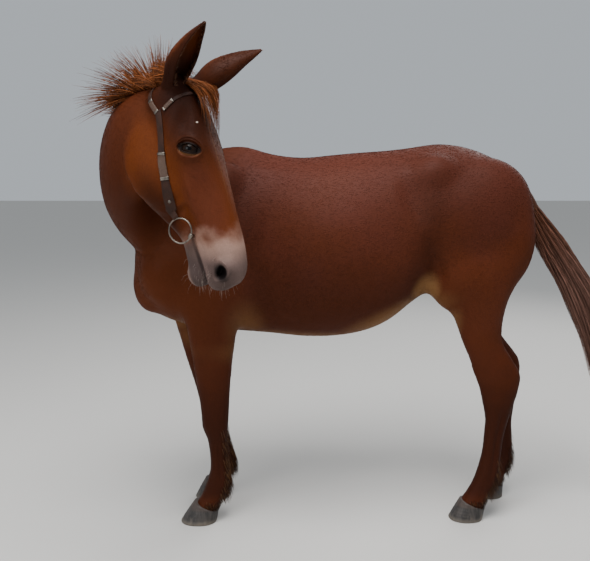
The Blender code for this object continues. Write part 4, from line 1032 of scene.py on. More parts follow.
def lightened(skin, share):
    """The skin with fewer faces on the trunk and thighs, where it is smooth."""
    points = read(skin.data.vertices, "co")
    off = np.linalg.norm(points - np.array(POLL), axis=1)
    plain = (head_weight(points) < 0.05) & (points[:, 2] > 0.5) & (off > 0.26)
    group = skin.vertex_groups.new(name="plain")
    group.add([int(i) for i in np.flatnonzero(plain)], 1.0, "REPLACE")
    decimate = skin.modifiers.new("Decimate", "DECIMATE")
    decimate.vertex_group = "plain"
    decimate.ratio = share
    applied(skin)
    skin.vertex_groups.clear()
    return skin


def eye_frame(side):
    """The middle of an eye and the directions forward along its slit, up across it and out of it."""
    centre = head_spots(EYE_PLACE)[side > 0]
    look = (HEAD_RIGHT * side * 0.93 + HEAD_OUT * 0.28 - HEAD_ALONG * 0.05).normalized()
    slit = HEAD_ALONG * 0.46 + HEAD_OUT * 0.885
    slit = (slit - look * slit.dot(look)).normalized()
    lift = look.cross(slit) * side
    return centre, slit, lift, look


def refine(shape, spots):
    """Splits every edge whose faces lie near one of the spots, each a point and a radius."""
    near = []
    for face in shape.faces:
        middle = face.calc_center_median()
        if any((middle - centre).length < radius for centre, radius in spots):
            near.append(face)
    edges = list(dict.fromkeys(edge for face in near for edge in face.edges))
    bmesh.ops.subdivide_edges(shape, edges=edges, cuts=1, use_grid_fill=True)
    bmesh.ops.triangulate(shape, faces=[face for face in shape.faces if len(face.verts) > 4])


def refined(skin):
    """The skin with finer faces on the face and on the muzzle."""
    shape = bmesh.new()
    shape.from_mesh(skin.data)
    eyes, nostrils = head_spots(EYE_PLACE), head_spots(NOSTRIL)
    mouth = [on_head(along, 0.165) for along in (0.47, 0.53, 0.59, 0.63)]
    broad = [(eye, 0.085) for eye in eyes] + [(nostril, 0.06) for nostril in nostrils]
    refine(shape, broad + [(spot, 0.045) for spot in mouth] + [(on_head(0.3, 0.09), 0.085)])
    refine(shape, [(eye, 0.052) for eye in eyes] + [(nostril, 0.036) for nostril in nostrils])
    shape.to_mesh(skin.data)
    shape.free()
    return soften(skin, 9, 0.5, lambda p: smoothstep(0.0, 0.08, head_places(p)[0]) * head_weight(p))


def slit_edge(angle):
    """A point on the edge between the lids, along the slit and up across it."""
    rise = math.copysign(abs(math.sin(angle)) ** 1.45, math.sin(angle))
    return SLIT_HALF * math.cos(angle), rise * (LID_RISE if rise > 0 else LID_FALL)


def dome(u, v, radius):
    """The height of the eyeball's curve, which runs out flat past its sides."""
    return math.sqrt(max(radius * radius - u * u - v * v, LID_FLOOR**2))


def lid_rings(tree, side):
    """Rings of points for the lids of one eye, from inside the slit out to where they meet the face."""
    centre, slit, lift, look = eye_frame(side)
    angles = [2 * math.pi * i / LID_SIDES for i in range(LID_SIDES)]
    rings = []
    for shrink, radius in ((0.84, EYE_RADIUS - 0.0024), (0.95, EYE_RADIUS), (0.985, EYE_RADIUS + 0.002)):
        ring = []
        for angle in angles:
            u, v = (value * shrink for value in slit_edge(angle))
            ring.append(centre + slit * u + lift * v + look * dome(u, v, radius))
        rings.append(ring)
    for step in range(31):
        t = step / 30
        ring = []
        for angle in angles:
            u, v = slit_edge(angle)
            u += (LID_REACH * math.cos(angle) - u) * t
            v += (LID_REACH * math.sin(angle) - v) * t
            hit, _, _, _ = tree.ray_cast(centre + slit * u + lift * v + look * 0.12, -look)
            face = (hit - centre).dot(look)
            share = float(smoothstep(0.0, 0.58, t))
            height = dome(u, v, EYE_RADIUS + 0.0034) * (1 - share) + face * share
            for place, wide, high, lid in LID_FOLDS:
                strong = max(math.sin(angle) * lid, 0) ** 0.6
                height += high * strong * math.exp(-(((t - place) / wide) ** 2))
            ring.append(centre + slit * u + lift * v + look * height)
        rings.append(ring)
    return rings


def lid_patch(rings):
    """The lids as a mesh of their own, closed within the slit."""
    patch = bmesh.new()
    loops = [ring_edges(patch, ring, cap=ring is rings[0]) for ring in rings]
    for low, high in zip(loops, loops[1:]):
        bmesh.ops.bridge_loops(patch, edges=low + high)
    mesh = bpy.data.meshes.new("lids")
    patch.to_mesh(mesh)
    patch.free()
    return mesh


def open_eye(skin, side):
    """Sets the lids of one eye into the skin."""
    centre, slit, lift, look = eye_frame(side)
    corners = [face.vertices[:] for face in skin.data.polygons]
    rings = lid_rings(BVHTree.FromPolygons([vert.co.copy() for vert in skin.data.vertices], corners), side)
    shape = bmesh.new()
    shape.from_mesh(skin.data)

    def covered(place):
        away = place - centre
        return away.dot(look) > -0.02 and math.hypot(away.dot(slit), away.dot(lift)) < LID_REACH + 0.0016

    rim = []
    doomed = [face for face in shape.faces if covered(face.calc_center_median())]
    while doomed:
        bmesh.ops.delete(shape, geom=doomed, context="FACES")
        rim = [e for e in shape.edges if e.is_boundary and (e.verts[0].co - centre).length < 0.2]
        pinched = {v for e in rim for v in e.verts if sum(near.is_boundary for near in v.link_edges) > 2}
        doomed = list({face for vert in pinched for face in vert.link_faces})
    outside = set(shape.faces)
    edges_outside = set(shape.edges)
    patch = lid_patch(rings)
    shape.from_mesh(patch)
    bpy.data.meshes.remove(patch)
    edge_of_lids = [edge for edge in shape.edges if edge.is_boundary and edge not in edges_outside]
    bmesh.ops.bridge_loops(shape, edges=edge_of_lids + rim)
    lids = [face for face in shape.faces if face not in outside]
    bmesh.ops.recalc_face_normals(shape, faces=lids)
    if not all(edge.is_contiguous for edge in rim):
        bmesh.ops.reverse_faces(shape, faces=lids)
    bmesh.ops.triangulate(shape, faces=[face for face in lids if len(face.verts) > 4])
    shape.to_mesh(skin.data)
    shape.free()

    def near_seam(points):
        away = points - np.array(centre)
        off = np.hypot(away @ np.array(slit), away @ np.array(lift))
        return smoothstep(0.012, 0.002, np.abs(off - LID_REACH)) * (away @ np.array(look) > -0.03)

    soften(skin, 6, 0.3, near_seam)


def shape_nostrils(points, normals):
    """Nostrils sunk into the muzzle, each with a raised wing round it."""
    for side, centre in zip((-1, 1), head_spots(NOSTRIL)):
        out = (HEAD_RIGHT * side * 0.86 + HEAD_OUT * 0.34 + HEAD_ALONG * 0.2).normalized()
        long = HEAD_ALONG * 0.8 - HEAD_OUT * 0.5
        long = (long - out * long.dot(out)).normalized()
        wide = out.cross(long)
        away = points - np.array(centre)
        u, v, w = away @ np.array(long), away @ np.array(wide) * side, away @ np.array(out)
        bent = v + 10.0 * u**2 - 0.004
        q = np.hypot(u / 0.026, bent / 0.0165)
        near = (np.abs(w) < 0.03) & (q < 3)
        sunk = -0.034 * smoothstep(1.08, 0.15, q)
        wing = 0.0045 * np.exp(-(((q - 1.32) / 0.26) ** 2))
        points += np.where(near, sunk, 0)[:, None] * np.array(out)[None]
        points += np.where(near, wing, 0)[:, None] * normals


def shape_mouth(points, normals):
    """The line between the lips, with fuller lips above and below it."""
    along, deep, _ = head_places(points)
    off = deep - np.interp(along, *zip(*MOUTH))
    ahead = smoothstep(MOUTH_CORNER[0] - 0.012, MOUTH_CORNER[0] + 0.02, along) * head_weight(points)
    groove = -0.0052 * np.exp(-((off / 0.0042) ** 2)) * ahead
    above, below = (np.exp(-(((off + away) / 0.008) ** 2)) for away in (-0.013, 0.013))
    lips = 0.003 * (above + below) * ahead
    points += normals * (groove + lips)[:, None]


def shape_face(points, normals):
    """Veins, the rim of the cheek and small folds at the corner of the mouth."""
    along, deep, side = head_places(points)
    outer = smoothstep(0.03, 0.045, np.abs(side)) * smoothstep(0.02, 0.06, along) * head_weight(points)
    rise = np.zeros(len(points))
    for rows, width, height in FACE_RIDGES:
        nearest = np.full(len(points), 9.0)
        for (a0, d0), (a1, d1) in zip(rows, rows[1:]):
            da, dd = a1 - a0, d1 - d0
            t = np.clip(((along - a0) * da + (deep - d0) * dd) / (da * da + dd * dd), 0, 1)
            nearest = np.minimum(nearest, np.hypot(along - a0 - da * t, deep - d0 - dd * t))
        rise += height * np.exp(-((nearest / width) ** 2)) * outer
    points += normals * rise[:, None]


def shape_legs(points, normals):
    """The groove before the tendons of the cannon bones, and the bone in front of it."""
    for name, (_, kind, *_) in LIMBS.items():
        behind, beside, half = off_limb(name, points)
        mine = np.hypot(behind, beside) < half * 1.6
        share = behind / half
        top = 0.36 if kind == "fore" else 0.5
        band = smoothstep(0.15, 0.22, points[:, 2]) * smoothstep(top, top - 0.08, points[:, 2])
        groove = -0.0055 * np.exp(-(((share - 0.18) / 0.22) ** 2)) * band
        bone = 0.0025 * np.exp(-(((share + 0.45) / 0.3) ** 2)) * band
        points += normals * np.where(mine, groove + bone, 0)[:, None]


def shape_ribs(points, normals):
    """Faint ribs."""
    side = np.abs(points[:, 1])
    slant = points[:, 0] + 0.35 * (points[:, 2] - 1.1)
    body = smoothstep(-0.1, 0.05, slant) * smoothstep(0.42, 0.28, slant)
    body *= smoothstep(0.85, 0.98, points[:, 2]) * smoothstep(1.42, 1.3, points[:, 2])
    body *= smoothstep(0.15, 0.22, side)
    rise = 0.0006 * np.sin(slant * 2 * math.pi / 0.052) * body
    points += normals * rise[:, None]


def unwrapped(skin):
    """The skin with an unwrap of its own shape."""
    bpy.context.view_layer.objects.active = skin
    skin.select_set(True)
    skin.data.uv_layers.new(name="Unwrap")
    bpy.ops.object.mode_set(mode="EDIT")
    bpy.ops.mesh.select_all(action="SELECT")
    bpy.ops.uv.smart_project(angle_limit=math.radians(72), island_margin=0.002)
    bpy.ops.object.mode_set(mode="OBJECT")
    skin.select_set(False)
    return skin


# Markings, the same on the skin and on the coat


def head_place(sheet):
    """Head coordinates in a material: along, deep and how far out to either side, and the three as one."""
    origin = POLL + MOVE
    along, deep = sheet.dot(origin, HEAD_ALONG), sheet.dot(origin, -HEAD_OUT)
    out = sheet.dot(origin, HEAD_RIGHT).size()
    return along, deep, out, sheet.node("CombineXYZ", None, {"X": along, "Y": deep, "Z": out}).out(0)


def both_sides(sheet):
    """Object coordinates with the side made positive, so that one mark serves both sides."""
    side = (sheet.axis("Y") - MOVE.y).size()
    return sheet.node("CombineXYZ", None, {"X": sheet.axis("X"), "Y": side, "Z": sheet.axis("Z")}).out(0)


def body_colours(sheet, broad, fine):
    """The colours of trunk, neck and legs by place."""
    look = settings("coat")
    middle = both_sides(sheet)
    height = sheet.axis("Z")

    def mark(centre, radii, soft, turn):
        x, y, z = centre
        return sheet.patch((x + MOVE.x, y, z), radii, soft, middle, turn)

    trunk = (sheet.axis("X") + (broad - 0.5) * 0.1).ramp(MOVE.x - 0.36, MOVE.x - 0.16)
    # Painted sheen over the trunk: in random patches, and more of it towards the top where the light falls
    base = sheet.mix(broad.ramp(0.35, 0.7) * 0.5 * trunk, look.red, look.sheen)
    back = (height + (broad - 0.5) * 0.25).ramp(1.08, 1.42)
    base = sheet.mix(back * 0.75 * trunk, base, look.sheen)
    # Amber marks of the coat, and the dark marks as painted shade
    for *place, share, name in BODY_MARKS_AND_SHADE:
        base = sheet.mix(mark(*place) * share, base, getattr(look, name))
    belly = reduce(Wire.largest, [mark(*place) * share for *place, share in BELLY_MARKS])
    base = sheet.mix(belly * (0.6 + broad * 0.5), base, look.pale)
    legs = (height + (fine - 0.5) * 0.12).ramp(0.78, 0.42)
    base = sheet.mix(legs * 0.75, base, look.dark)
    fetlock = (height + (fine - 0.5) * 0.05).ramp(0.14, 0.08)
    return sheet.mix(fetlock * 0.45, base, look.red)


def head_colours(sheet, broad, fine, along, deep, on_face):
    """The colours of the head by place, with painted sheen on the nose, a painted highlight down the face, and
    painted shade under the jaw and in the nostrils.
    """
    look = settings("coat")

    def mark(centre, radii, soft):
        return sheet.patch(centre, radii, soft, on_face)

    head = sheet.mix(0.35 + broad.ramp(0.3, 0.75) * 0.5, look.red, look.amber)
    # Marks of the head, with painted sheen, shade and highlight among them
    for *place, share, name in HEAD_MARKS_AND_PAINTED_LIGHT:
        head = sheet.mix(mark(*place) * share, head, getattr(look, name))
    mealy = (along + (fine - 0.5) * 0.13 + (deep - 0.1) * 0.2).ramp(0.43, 0.535)
    head = sheet.mix(mealy * 0.88, head, look.mealy)
    low = (along + (fine - 0.5) * 0.05 + (deep - 0.06) * 0.3).ramp(0.505, 0.59)
    head = sheet.mix(low * 0.8, head, look.grey)
    head = sheet.mix(mark((0.605, 0.105, 0.055), (0.06, 0.05, 0.045), 0.5) * 0.55, head, look.skin)
    lower = (deep + (fine - 0.5) * 0.004).ramp(0.162, 0.17) * along.ramp(0.455, 0.49)
    head = sheet.mix(lower * 0.75, head, shade(look.grey, 0.45))
    rear = (deep + (fine - 0.5) * 0.012).ramp(0.208, 0.226) * along.ramp(0.4, 0.46)
    head = sheet.mix(rear * 0.45, head, look.mealy)
    lips = mark((0.58, 0.165, 0.03), (0.12, 0.0055, 0.07), 0.5) * 0.85
    lips = lips.largest(mark((0.655, 0.12, 0.0), (0.03, 0.045, 0.05), 0.6) * 0.55)
    head = sheet.mix(lips, head, look.skin)
    # Nostrils near-black: dark skin and painted shade
    head = sheet.mix(mark((0.596, 0.094, 0.05), (0.03, 0.023, 0.026), 0.35), head, NOSTRIL_SKIN_AND_SHADE)
    right = sheet.dot(POLL + MOVE, HEAD_RIGHT).ramp(0.0, 0.01)
    fleck = mark((0.1265, 0.0154, 0.0624), (0.0026, 0.003, 0.006), 0.4) * right
    head = sheet.mix(fleck, head, FLECK_COLOUR)
    dark, pale = eye_marks(sheet)
    head = sheet.mix(pale * 0.3, head, look.pale)
    return sheet.mix(dark * 0.94, head, shade(look.skin, 0.35))


def markings(sheet):
    """The mule's colours by place, with the finer one of the two noises that they use."""
    broad, fine = sheet.noise(3.0, 3.0), sheet.noise(16.0, 3.0)
    along, deep, out, on_face = head_place(sheet)
    cut_point, cut_normal = HEAD_CUT
    in_head = sheet.dot(cut_point + MOVE, cut_normal).ramp(-0.01, 0.05) * out.ramp(0.175, 0.15)
    head = head_colours(sheet, broad, fine, along, deep, on_face)
    base = sheet.mix(in_head, body_colours(sheet, broad, fine), head)
    return sheet.mix(ear_marks(sheet) * sheet.axis("Z").ramp(1.56, 1.62), base, settings("coat").dark), fine


def eye_marks(sheet):
    """The dark edges of the lids and the paler hair round them."""
    darks, pales = [], []
    for side in (-1, 1):
        centre, slit, lift, look = eye_frame(side)
        origin = centre + MOVE
        out = sheet.dot(origin, look).ramp(0.0, 0.008)
        dark = sheet.reach(origin + lift * 0.001, (slit, 0.04), (lift, 0.019)).ramp(1.08, 0.84)
        pale = sheet.reach(origin - lift * 0.006, (slit, 0.033), (lift, 0.015)).ramp(1.2, 0.95)
        darks.append(dark * out)
        pales.append(pale * sheet.dot(origin, lift).ramp(-0.002, -0.01) * out)
    return reduce(Wire.largest, darks), reduce(Wire.largest, pales)


def ear_marks(sheet):
    """The insides of the ears."""
    marks = []
    for suffix in EARS:
        root, _, axis, _, front = ear_frame(suffix)
        ahead = sheet.dot(root + MOVE, front).ramp(-0.03, -0.005)
        marks.append(ahead * sheet.dot(root + MOVE, axis).ramp(0.03, 0.08) * 0.75)
    return reduce(Wire.largest, marks)


def skin_material():
    sheet = Sheet("short coat")
    base, fine = markings(sheet)
    streaks = sheet.noise(1.0, 3.0, sheet.stretched((60.0, 260.0, 240.0)))
    drops = sheet.noise(1.0, 3.0, sheet.stretched((260.0, 260.0, 60.0)))
    hairs = streaks * 0.5 + drops * 0.5
    base = sheet.tinted(base, 0.72 + hairs * 0.55)
    sheet.set(Base_Color=base, Roughness=0.5 + fine * 0.12, Specular_IOR_Level=0.08)
    sheet.bump(hairs + fine * 0.6, 0.001, 0.7)
    return sheet.material


def coat_material():
    sheet = Sheet("coat tufts")
    base, fine = markings(sheet)
    base = sheet.tinted(base, 0.9 + sheet.attribute("tone") * 0.28)
    sheet.set(Base_Color=base, Roughness=0.5 + fine * 0.12, Specular_IOR_Level=0.08)
    return sheet.material


# Coat and hair as joined meshes


def from_arrays(name, points, faces, tones, patches):
    """A mesh object from points and triangles, with a tone and a place in the unwrap for each point."""
    mesh = bpy.data.meshes.new(name)
    mesh.vertices.add(len(points))
    mesh.vertices.foreach_set("co", np.asarray(points, dtype=np.float32).ravel())
    mesh.loops.add(faces.size)
    mesh.loops.foreach_set("vertex_index", faces.ravel().astype(np.int32))
    mesh.polygons.add(len(faces))
    mesh.polygons.foreach_set("loop_start", np.arange(len(faces), dtype=np.int32) * 3)
    mesh.update(calc_edges=True)
    mesh.attributes.new("tone", "FLOAT", "POINT").data.foreach_set("value", tones.astype(np.float32))
    layer = mesh.uv_layers.new(name="OFBake")
    layer.data.foreach_set("uv", patches[faces.ravel()].astype(np.float32).ravel())
    mesh.validate()
    return linked(name, mesh)


def unit(vectors):
    return vectors / np.maximum(np.linalg.norm(vectors, axis=-1, keepdims=True), 1e-9)


class Hide:
    """The finished skin as arrays, in the mule's frame, for rooting hair on it."""

    def __init__(self, skin):
        mesh = skin.data
        mesh.calc_loop_triangles()
        points, self.normals = read_surface(skin)
        self.points = points - np.array(MOVE)
        self.corners = read(mesh.loop_triangles, "vertices", 3, np.int32)
        loops = read(mesh.loop_triangles, "loops", 3, np.int32)
        self.uv = read(mesh.uv_layers["Unwrap"].data, "uv", 2)[loops]
        a, b, c = (self.points[self.corners[:, i]] for i in range(3))
        self.areas = np.linalg.norm(np.cross(b - a, c - a), axis=1) / 2
        self.middles = (a + b + c) / 3
        self.tree = BVHTree.FromPolygons([tuple(p) for p in self.points], self.corners.tolist())

    def sample(self, seed, density, weight):
        """Random places on the skin: points, normals and their place in the unwrap."""
        chances = np.random.default_rng(seed)
        areas = self.areas * weight(self.middles)
        count = int(areas.sum() * density)
        chosen = chances.choice(len(areas), count, p=areas / areas.sum())
        first, second = np.sqrt(chances.random(count)), chances.random(count)
        shares = np.stack([1 - first, first * (1 - second), first * second], axis=1)[:, :, None]
        points = (self.points[self.corners[chosen]] * shares).sum(axis=1)
        normals = unit((self.normals[self.corners[chosen]] * shares).sum(axis=1))
        return points, normals, (self.uv[chosen] * shares).sum(axis=1), chances

    def settle(self, points):
        """The nearest places on the skin and the directions out of them."""
        found = np.empty_like(points)
        out = np.empty_like(points)
        for i, point in enumerate(points):
            place, normal, _, _ = self.tree.find_nearest(Vector(point))
            found[i], out[i] = place, normal
        return found, out


def head_weight(points):
    """1 on the head and 0 on the rest of the mule."""
    point, normal = HEAD_CUT
    ahead = (points - np.array(point)) @ np.array(normal)
    return smoothstep(-0.02, 0.05, ahead) * smoothstep(0.175, 0.15, np.abs(head_places(points)[2]))


def lie(points, normals):
    """The direction in which the coat lies at each point."""
    head = head_weight(points)[:, None]
    x, z = points[:, 0], points[:, 2]
    legs = smoothstep(0.98, 0.72, z)[:, None]
    trunk = np.stack([np.ones_like(x), np.zeros_like(x), -0.25 - 0.9 * smoothstep(0.6, 0.95, x)], axis=1)
    trunk[:, 2] -= 1.6 * smoothstep(-0.42, -0.6, x)
    frames = neck_frames(24)
    centres = np.array([f[0] for f in frames])
    headings = np.array([f[1] for f in frames])
    nearest = np.argmin(((points[:, None] - centres[None]) ** 2).sum(axis=2), axis=1)
    neck = -headings[nearest] + np.array((0, 0, -0.35))
    on_neck = smoothstep(-0.36, -0.5, x)[:, None] * smoothstep(1.16, 1.3, z)[:, None]
    down = np.array((0.1, 0.0, -1.0))
    back = smoothstep(0.08, 0.2, head_places(points)[1])[:, None]
    face = np.array(HEAD_ALONG) * (1 - 0.55 * back) - np.array(HEAD_OUT) * 0.75 * back
    flow = trunk * (1 - on_neck) + neck * on_neck
    flow = flow * (1 - legs) + down * legs
    flow = flow * (1 - head) + face * head
    for suffix in EARS:
        up, off = off_ear(suffix, points)
        on_ear = ((up > 0.025) & (off < 0.062))[:, None]
        flow = np.where(on_ear, np.array(ear_frame(suffix)[2]), flow)
    flow = flow - normals * (flow * normals).sum(axis=1)[:, None]
    return unit(flow)


def lay_tufts(hide, name, seed, density, long, wide, lift, weight, shorter=None):
    """Flat pointed tufts rooted in the skin that lie along the coat."""
    points, normals, places, chances = hide.sample(seed, density, weight)
    count = len(points)
    flow = lie(points, normals)
    side = np.cross(normals, flow)
    flow = unit(flow + side * chances.normal(0, 0.16, count)[:, None])
    side = np.cross(normals, flow)
    size = chances.uniform(0.75, 1.25, count)
    if shorter is not None:
        size *= shorter(points)
    reach = (long * size)[:, None]
    half = (wide * 0.5 * np.sqrt(size) * chances.uniform(0.8, 1.2, count))[:, None]
    ends, outs = hide.settle(points + flow * reach)
    rise = (lift * size * chances.uniform(0.4, 1.3, count))[:, None]
    tip = ends + outs * rise
    middle = points * 0.55 + ends * 0.45 + (normals * 0.55 + outs * 0.45) * rise * 0.62
    foot, ridge = points - normals * 0.0012, middle + normals * half * 0.16
    mesh_points = np.stack([foot, middle + side * half, middle - side * half, ridge, tip], axis=1)
    pattern = np.array([(0, 2, 3), (0, 3, 1), (2, 4, 3), (3, 4, 1), (0, 1, 4), (0, 4, 2)])
    faces = (np.arange(count)[:, None, None] * 5 + pattern[None]).reshape(-1, 3)
    corners = np.array([(0.5, 0), (0, 0.4), (1, 0.4), (0.5, 0.5), (0.5, 1)]) - 0.5
    patches = (places[:, None] + corners[None] * PATCH).reshape(-1, 2)
    tones = np.repeat(chances.random(count), 5)
    return from_arrays(name, mesh_points.reshape(-1, 3), faces, tones, np.clip(patches, 0.0005, 0.9995))


def strands(name, lines, widths, facing, tones, patches, flat=0.35):
    """Tapering three-sided strands along lines of points, wide across facing."""
    lines = np.asarray(lines, float)
    count, rings = lines.shape[:2]
    heading = unit(np.gradient(lines, axis=1))
    side = unit(np.cross(facing[:, None] + 0 * lines, heading))
    up = np.cross(heading, side)
    half = widths[:, :, None]
    ring = np.stack([lines + side * half, lines - side * half, lines + up * half * flat * 2], axis=2)
    points = ring.reshape(-1, 3)
    pattern = []
    for k in range(rings - 1):
        for a, b in ((0, 1), (1, 2), (2, 0)):
            low, high = k * 3, k * 3 + 3
            pattern += [(low + a, high + a, high + b), (low + a, high + b, low + b)]
    pattern += [(0, 1, 2), (rings * 3 - 3, rings * 3 - 1, rings * 3 - 2)]
    faces = (np.arange(count)[:, None, None] * rings * 3 + np.array(pattern)[None]).reshape(-1, 3)
    across, down = np.meshgrid((-0.5, 0.5, 0.0), np.linspace(-0.5, 0.5, rings))
    spread = np.stack([across.ravel(), down.ravel()], axis=1) * PATCH
    patches = np.clip((patches[:, None] + spread[None]).reshape(-1, 2), PATCH / 2, 1 - PATCH / 2)
    return from_arrays(name, points, faces, np.repeat(tones, rings * 3), patches)


def bent(root, bend, tip, rings):
    """Curved lines from roots past bends to tips."""
    t = np.linspace(0, 1, rings)[None, :, None]
    return root[:, None] * (1 - t) ** 2 + bend[:, None] * 2 * t * (1 - t) + tip[:, None] * t**2


def tapered(count, rings, width, chances, root=0.5):
    """Half widths along strands that start narrow, are widest early and end in a point."""
    t = np.linspace(0, 1, rings)[None]
    shape = np.minimum(root + (1 - root) * t / 0.25, 1) * np.clip(1 - t, 0.04, 1) ** 0.7
    return shape * (width * chances.uniform(0.6, 1.3, count))[:, None]


def patch_places(points):
    """Places for long hair in an unwrap, from where it grows."""
    low, high = points.min(axis=0), points.max(axis=0)
    share = (points - low) / np.maximum(high - low, 1e-6)
    places = np.stack([share[:, 0], share[:, 1] * 0.5 + share[:, 2] * 0.5], axis=1)
    return places * 0.98 + 0.01


def grow(name, material, roots, lines, widths, facing, chances, flat=0.35):
    """Makes a piece of hair from lines of points and the half widths along them."""
    tones = chances.random(len(roots))
    piece(strands(name, lines, widths, facing, tones, patch_places(roots), flat), material)


def toned_material(name, dark, light, rough):
    """Short hair whose strands lie between two colours."""
    sheet = Sheet(name)
    sheet.set(Base_Color=sheet.mix(sheet.attribute("tone"), dark, light), Roughness=rough)
    return sheet.material


def hair_material(name, root, tip, origin, direction, low, high):
    """Long hair that changes colour between two places along a direction."""
    sheet = Sheet(name)
    share = sheet.dot(origin + MOVE, direction).ramp(low, high)
    tone = sheet.attribute("tone")
    fine = sheet.noise(40.0, 2.0)
    base = sheet.tinted(sheet.mix(share, root, tip), 0.4 + tone * tone * 1.35 + (fine - 0.5) * 0.3)
    sheet.set(Base_Color=base, Roughness=0.5 + fine * 0.1, Specular_IOR_Level=0.12)
    return sheet.material


# Operators


class MULE_OT_skin(bpy.types.Operator):
    """Make the skin that replaces the nodes of flesh"""

    bl_idname = "mule.skin"
    bl_label = "Skin"

    def execute(self, context):
        skin = with_ears(refined(lightened(whole_body(), 0.34)))
        points, normals = read_surface(skin)
        for step in (shape_nostrils, shape_mouth, shape_face, shape_legs, shape_ribs):
            step(points, normals)
        points -= normals * settings("coat").depth * 0.6
        write_points(skin.data, points)
        for side in (-1, 1):
            open_eye(skin, side)
        kinds = ("head", "neck", "torso", "foreleg", "hindleg", "ear")
        flesh = [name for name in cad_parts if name.startswith(kinds)]
        piece(unwrapped(skin), skin_material(), *flesh)
        return {"FINISHED"}


class MULE_OT_coat(bpy.types.Operator):
    """Lay the short coat over the skin"""

    bl_idname = "mule.coat"
    bl_label = "Coat"

    def execute(self, context):
        look = settings("coat")
        hide = Hide(bpy.data.objects["skin"])
        material = coat_material()
        density = look.tufts * 1

        def trunk(side, ahead):
            def weight(points):
                mine = (points[:, 1] * side > 0) & ((points[:, 0] > 0.12) == ahead)
                return (1 - head_weight(points)) * mine * (points[:, 2] > LEG_TOP)

            return weight

        def small(points):
            return 1 - 0.55 * smoothstep(0.3, 0.55, head_places(points)[0])

        def on_head_only(points):
            along, deep, _ = head_places(points)
            clear = np.ones(len(points))
            for place, radius in ((EYE_PLACE, 0.041), (NOSTRIL, 0.026)):
                for spot in head_spots(place):
                    clear *= np.linalg.norm(points - np.array(spot), axis=1) > radius
            lips = (np.abs(deep - 0.163) < 0.007) & (along > 0.46)
            return head_weight(points) * clear * ~lips * (points[:, 2] > 0.9)

        def leg(points):
            return (points[:, 2] <= LEG_TOP) & (points[:, 2] > 0.055)

        for i, (side, ahead) in enumerate(((-1, True), (-1, False), (1, True), (1, False))):
            name = f"coat_trunk_{i + 1}"
            made = lay_tufts(hide, name, 11 + i, density, look.tuft, look.width, 0.0007, trunk(side, ahead))
            piece(made, material, smooth=False)
        made = lay_tufts(hide, "coat_legs", 21, density * 1.3, look.tuft * 0.6, look.width * 0.8, 0.0007, leg)
        piece(made, material, smooth=False)
        sizes = (look.tuft * 0.48, look.width * 0.65, 0.0006)
        made = lay_tufts(hide, "coat_head", 31, density * 1.9, *sizes, on_head_only, small)
        piece(made, material, smooth=False)
        return {"FINISHED"}


class MULE_OT_eyes(bpy.types.Operator):
    """Make the eyes"""

    bl_idname = "mule.eyes"
    bl_label = "Eyes"

    def execute(self, context):
        for side, suffix in ((-1, "left"), (1, "right")):
            centre, slit, lift, look = eye_frame(side)
            shape = bmesh.new()
            add_ball(shape, centre, (EYE_RADIUS,) * 3, (slit, lift, look), 48, 32)
            for vert in shape.verts:
                away = vert.co - centre
                if away.dot(look) > 0:
                    reach = math.hypot(away.dot(slit) / 0.019, away.dot(lift) / 0.017)
                    vert.co += look * 0.0018 * max(0.0, 1 - reach * reach)
            bmesh.ops.recalc_face_normals(shape, faces=shape.faces)
            made = from_bmesh("eyeball_" + suffix, shape)
            sheet = Sheet("eye " + suffix)
            origin = centre + MOVE
            edge = sheet.reach(origin, (slit, 0.0205), (lift, 0.0175)).ramp(0.92, 1.08)
            pupil = sheet.reach(origin, (slit, 0.0105), (lift, 0.0055)).ramp(1.12, 0.92)
            fibres = sheet.noise(300.0, 2.0)
            iris = sheet.mix(fibres, (0.007, 0.003, 0.002), (0.018, 0.008, 0.004))
            base = sheet.mix(edge, iris, (0.01, 0.006, 0.005))
            base = sheet.mix(pupil, base, (0.001, 0.001, 0.0015))
            sheet.set(Base_Color=base, Roughness=0.08, Specular_IOR_Level=0.14)
            piece(made, sheet.material, "eye_" + suffix)
        return {"FINISHED"}


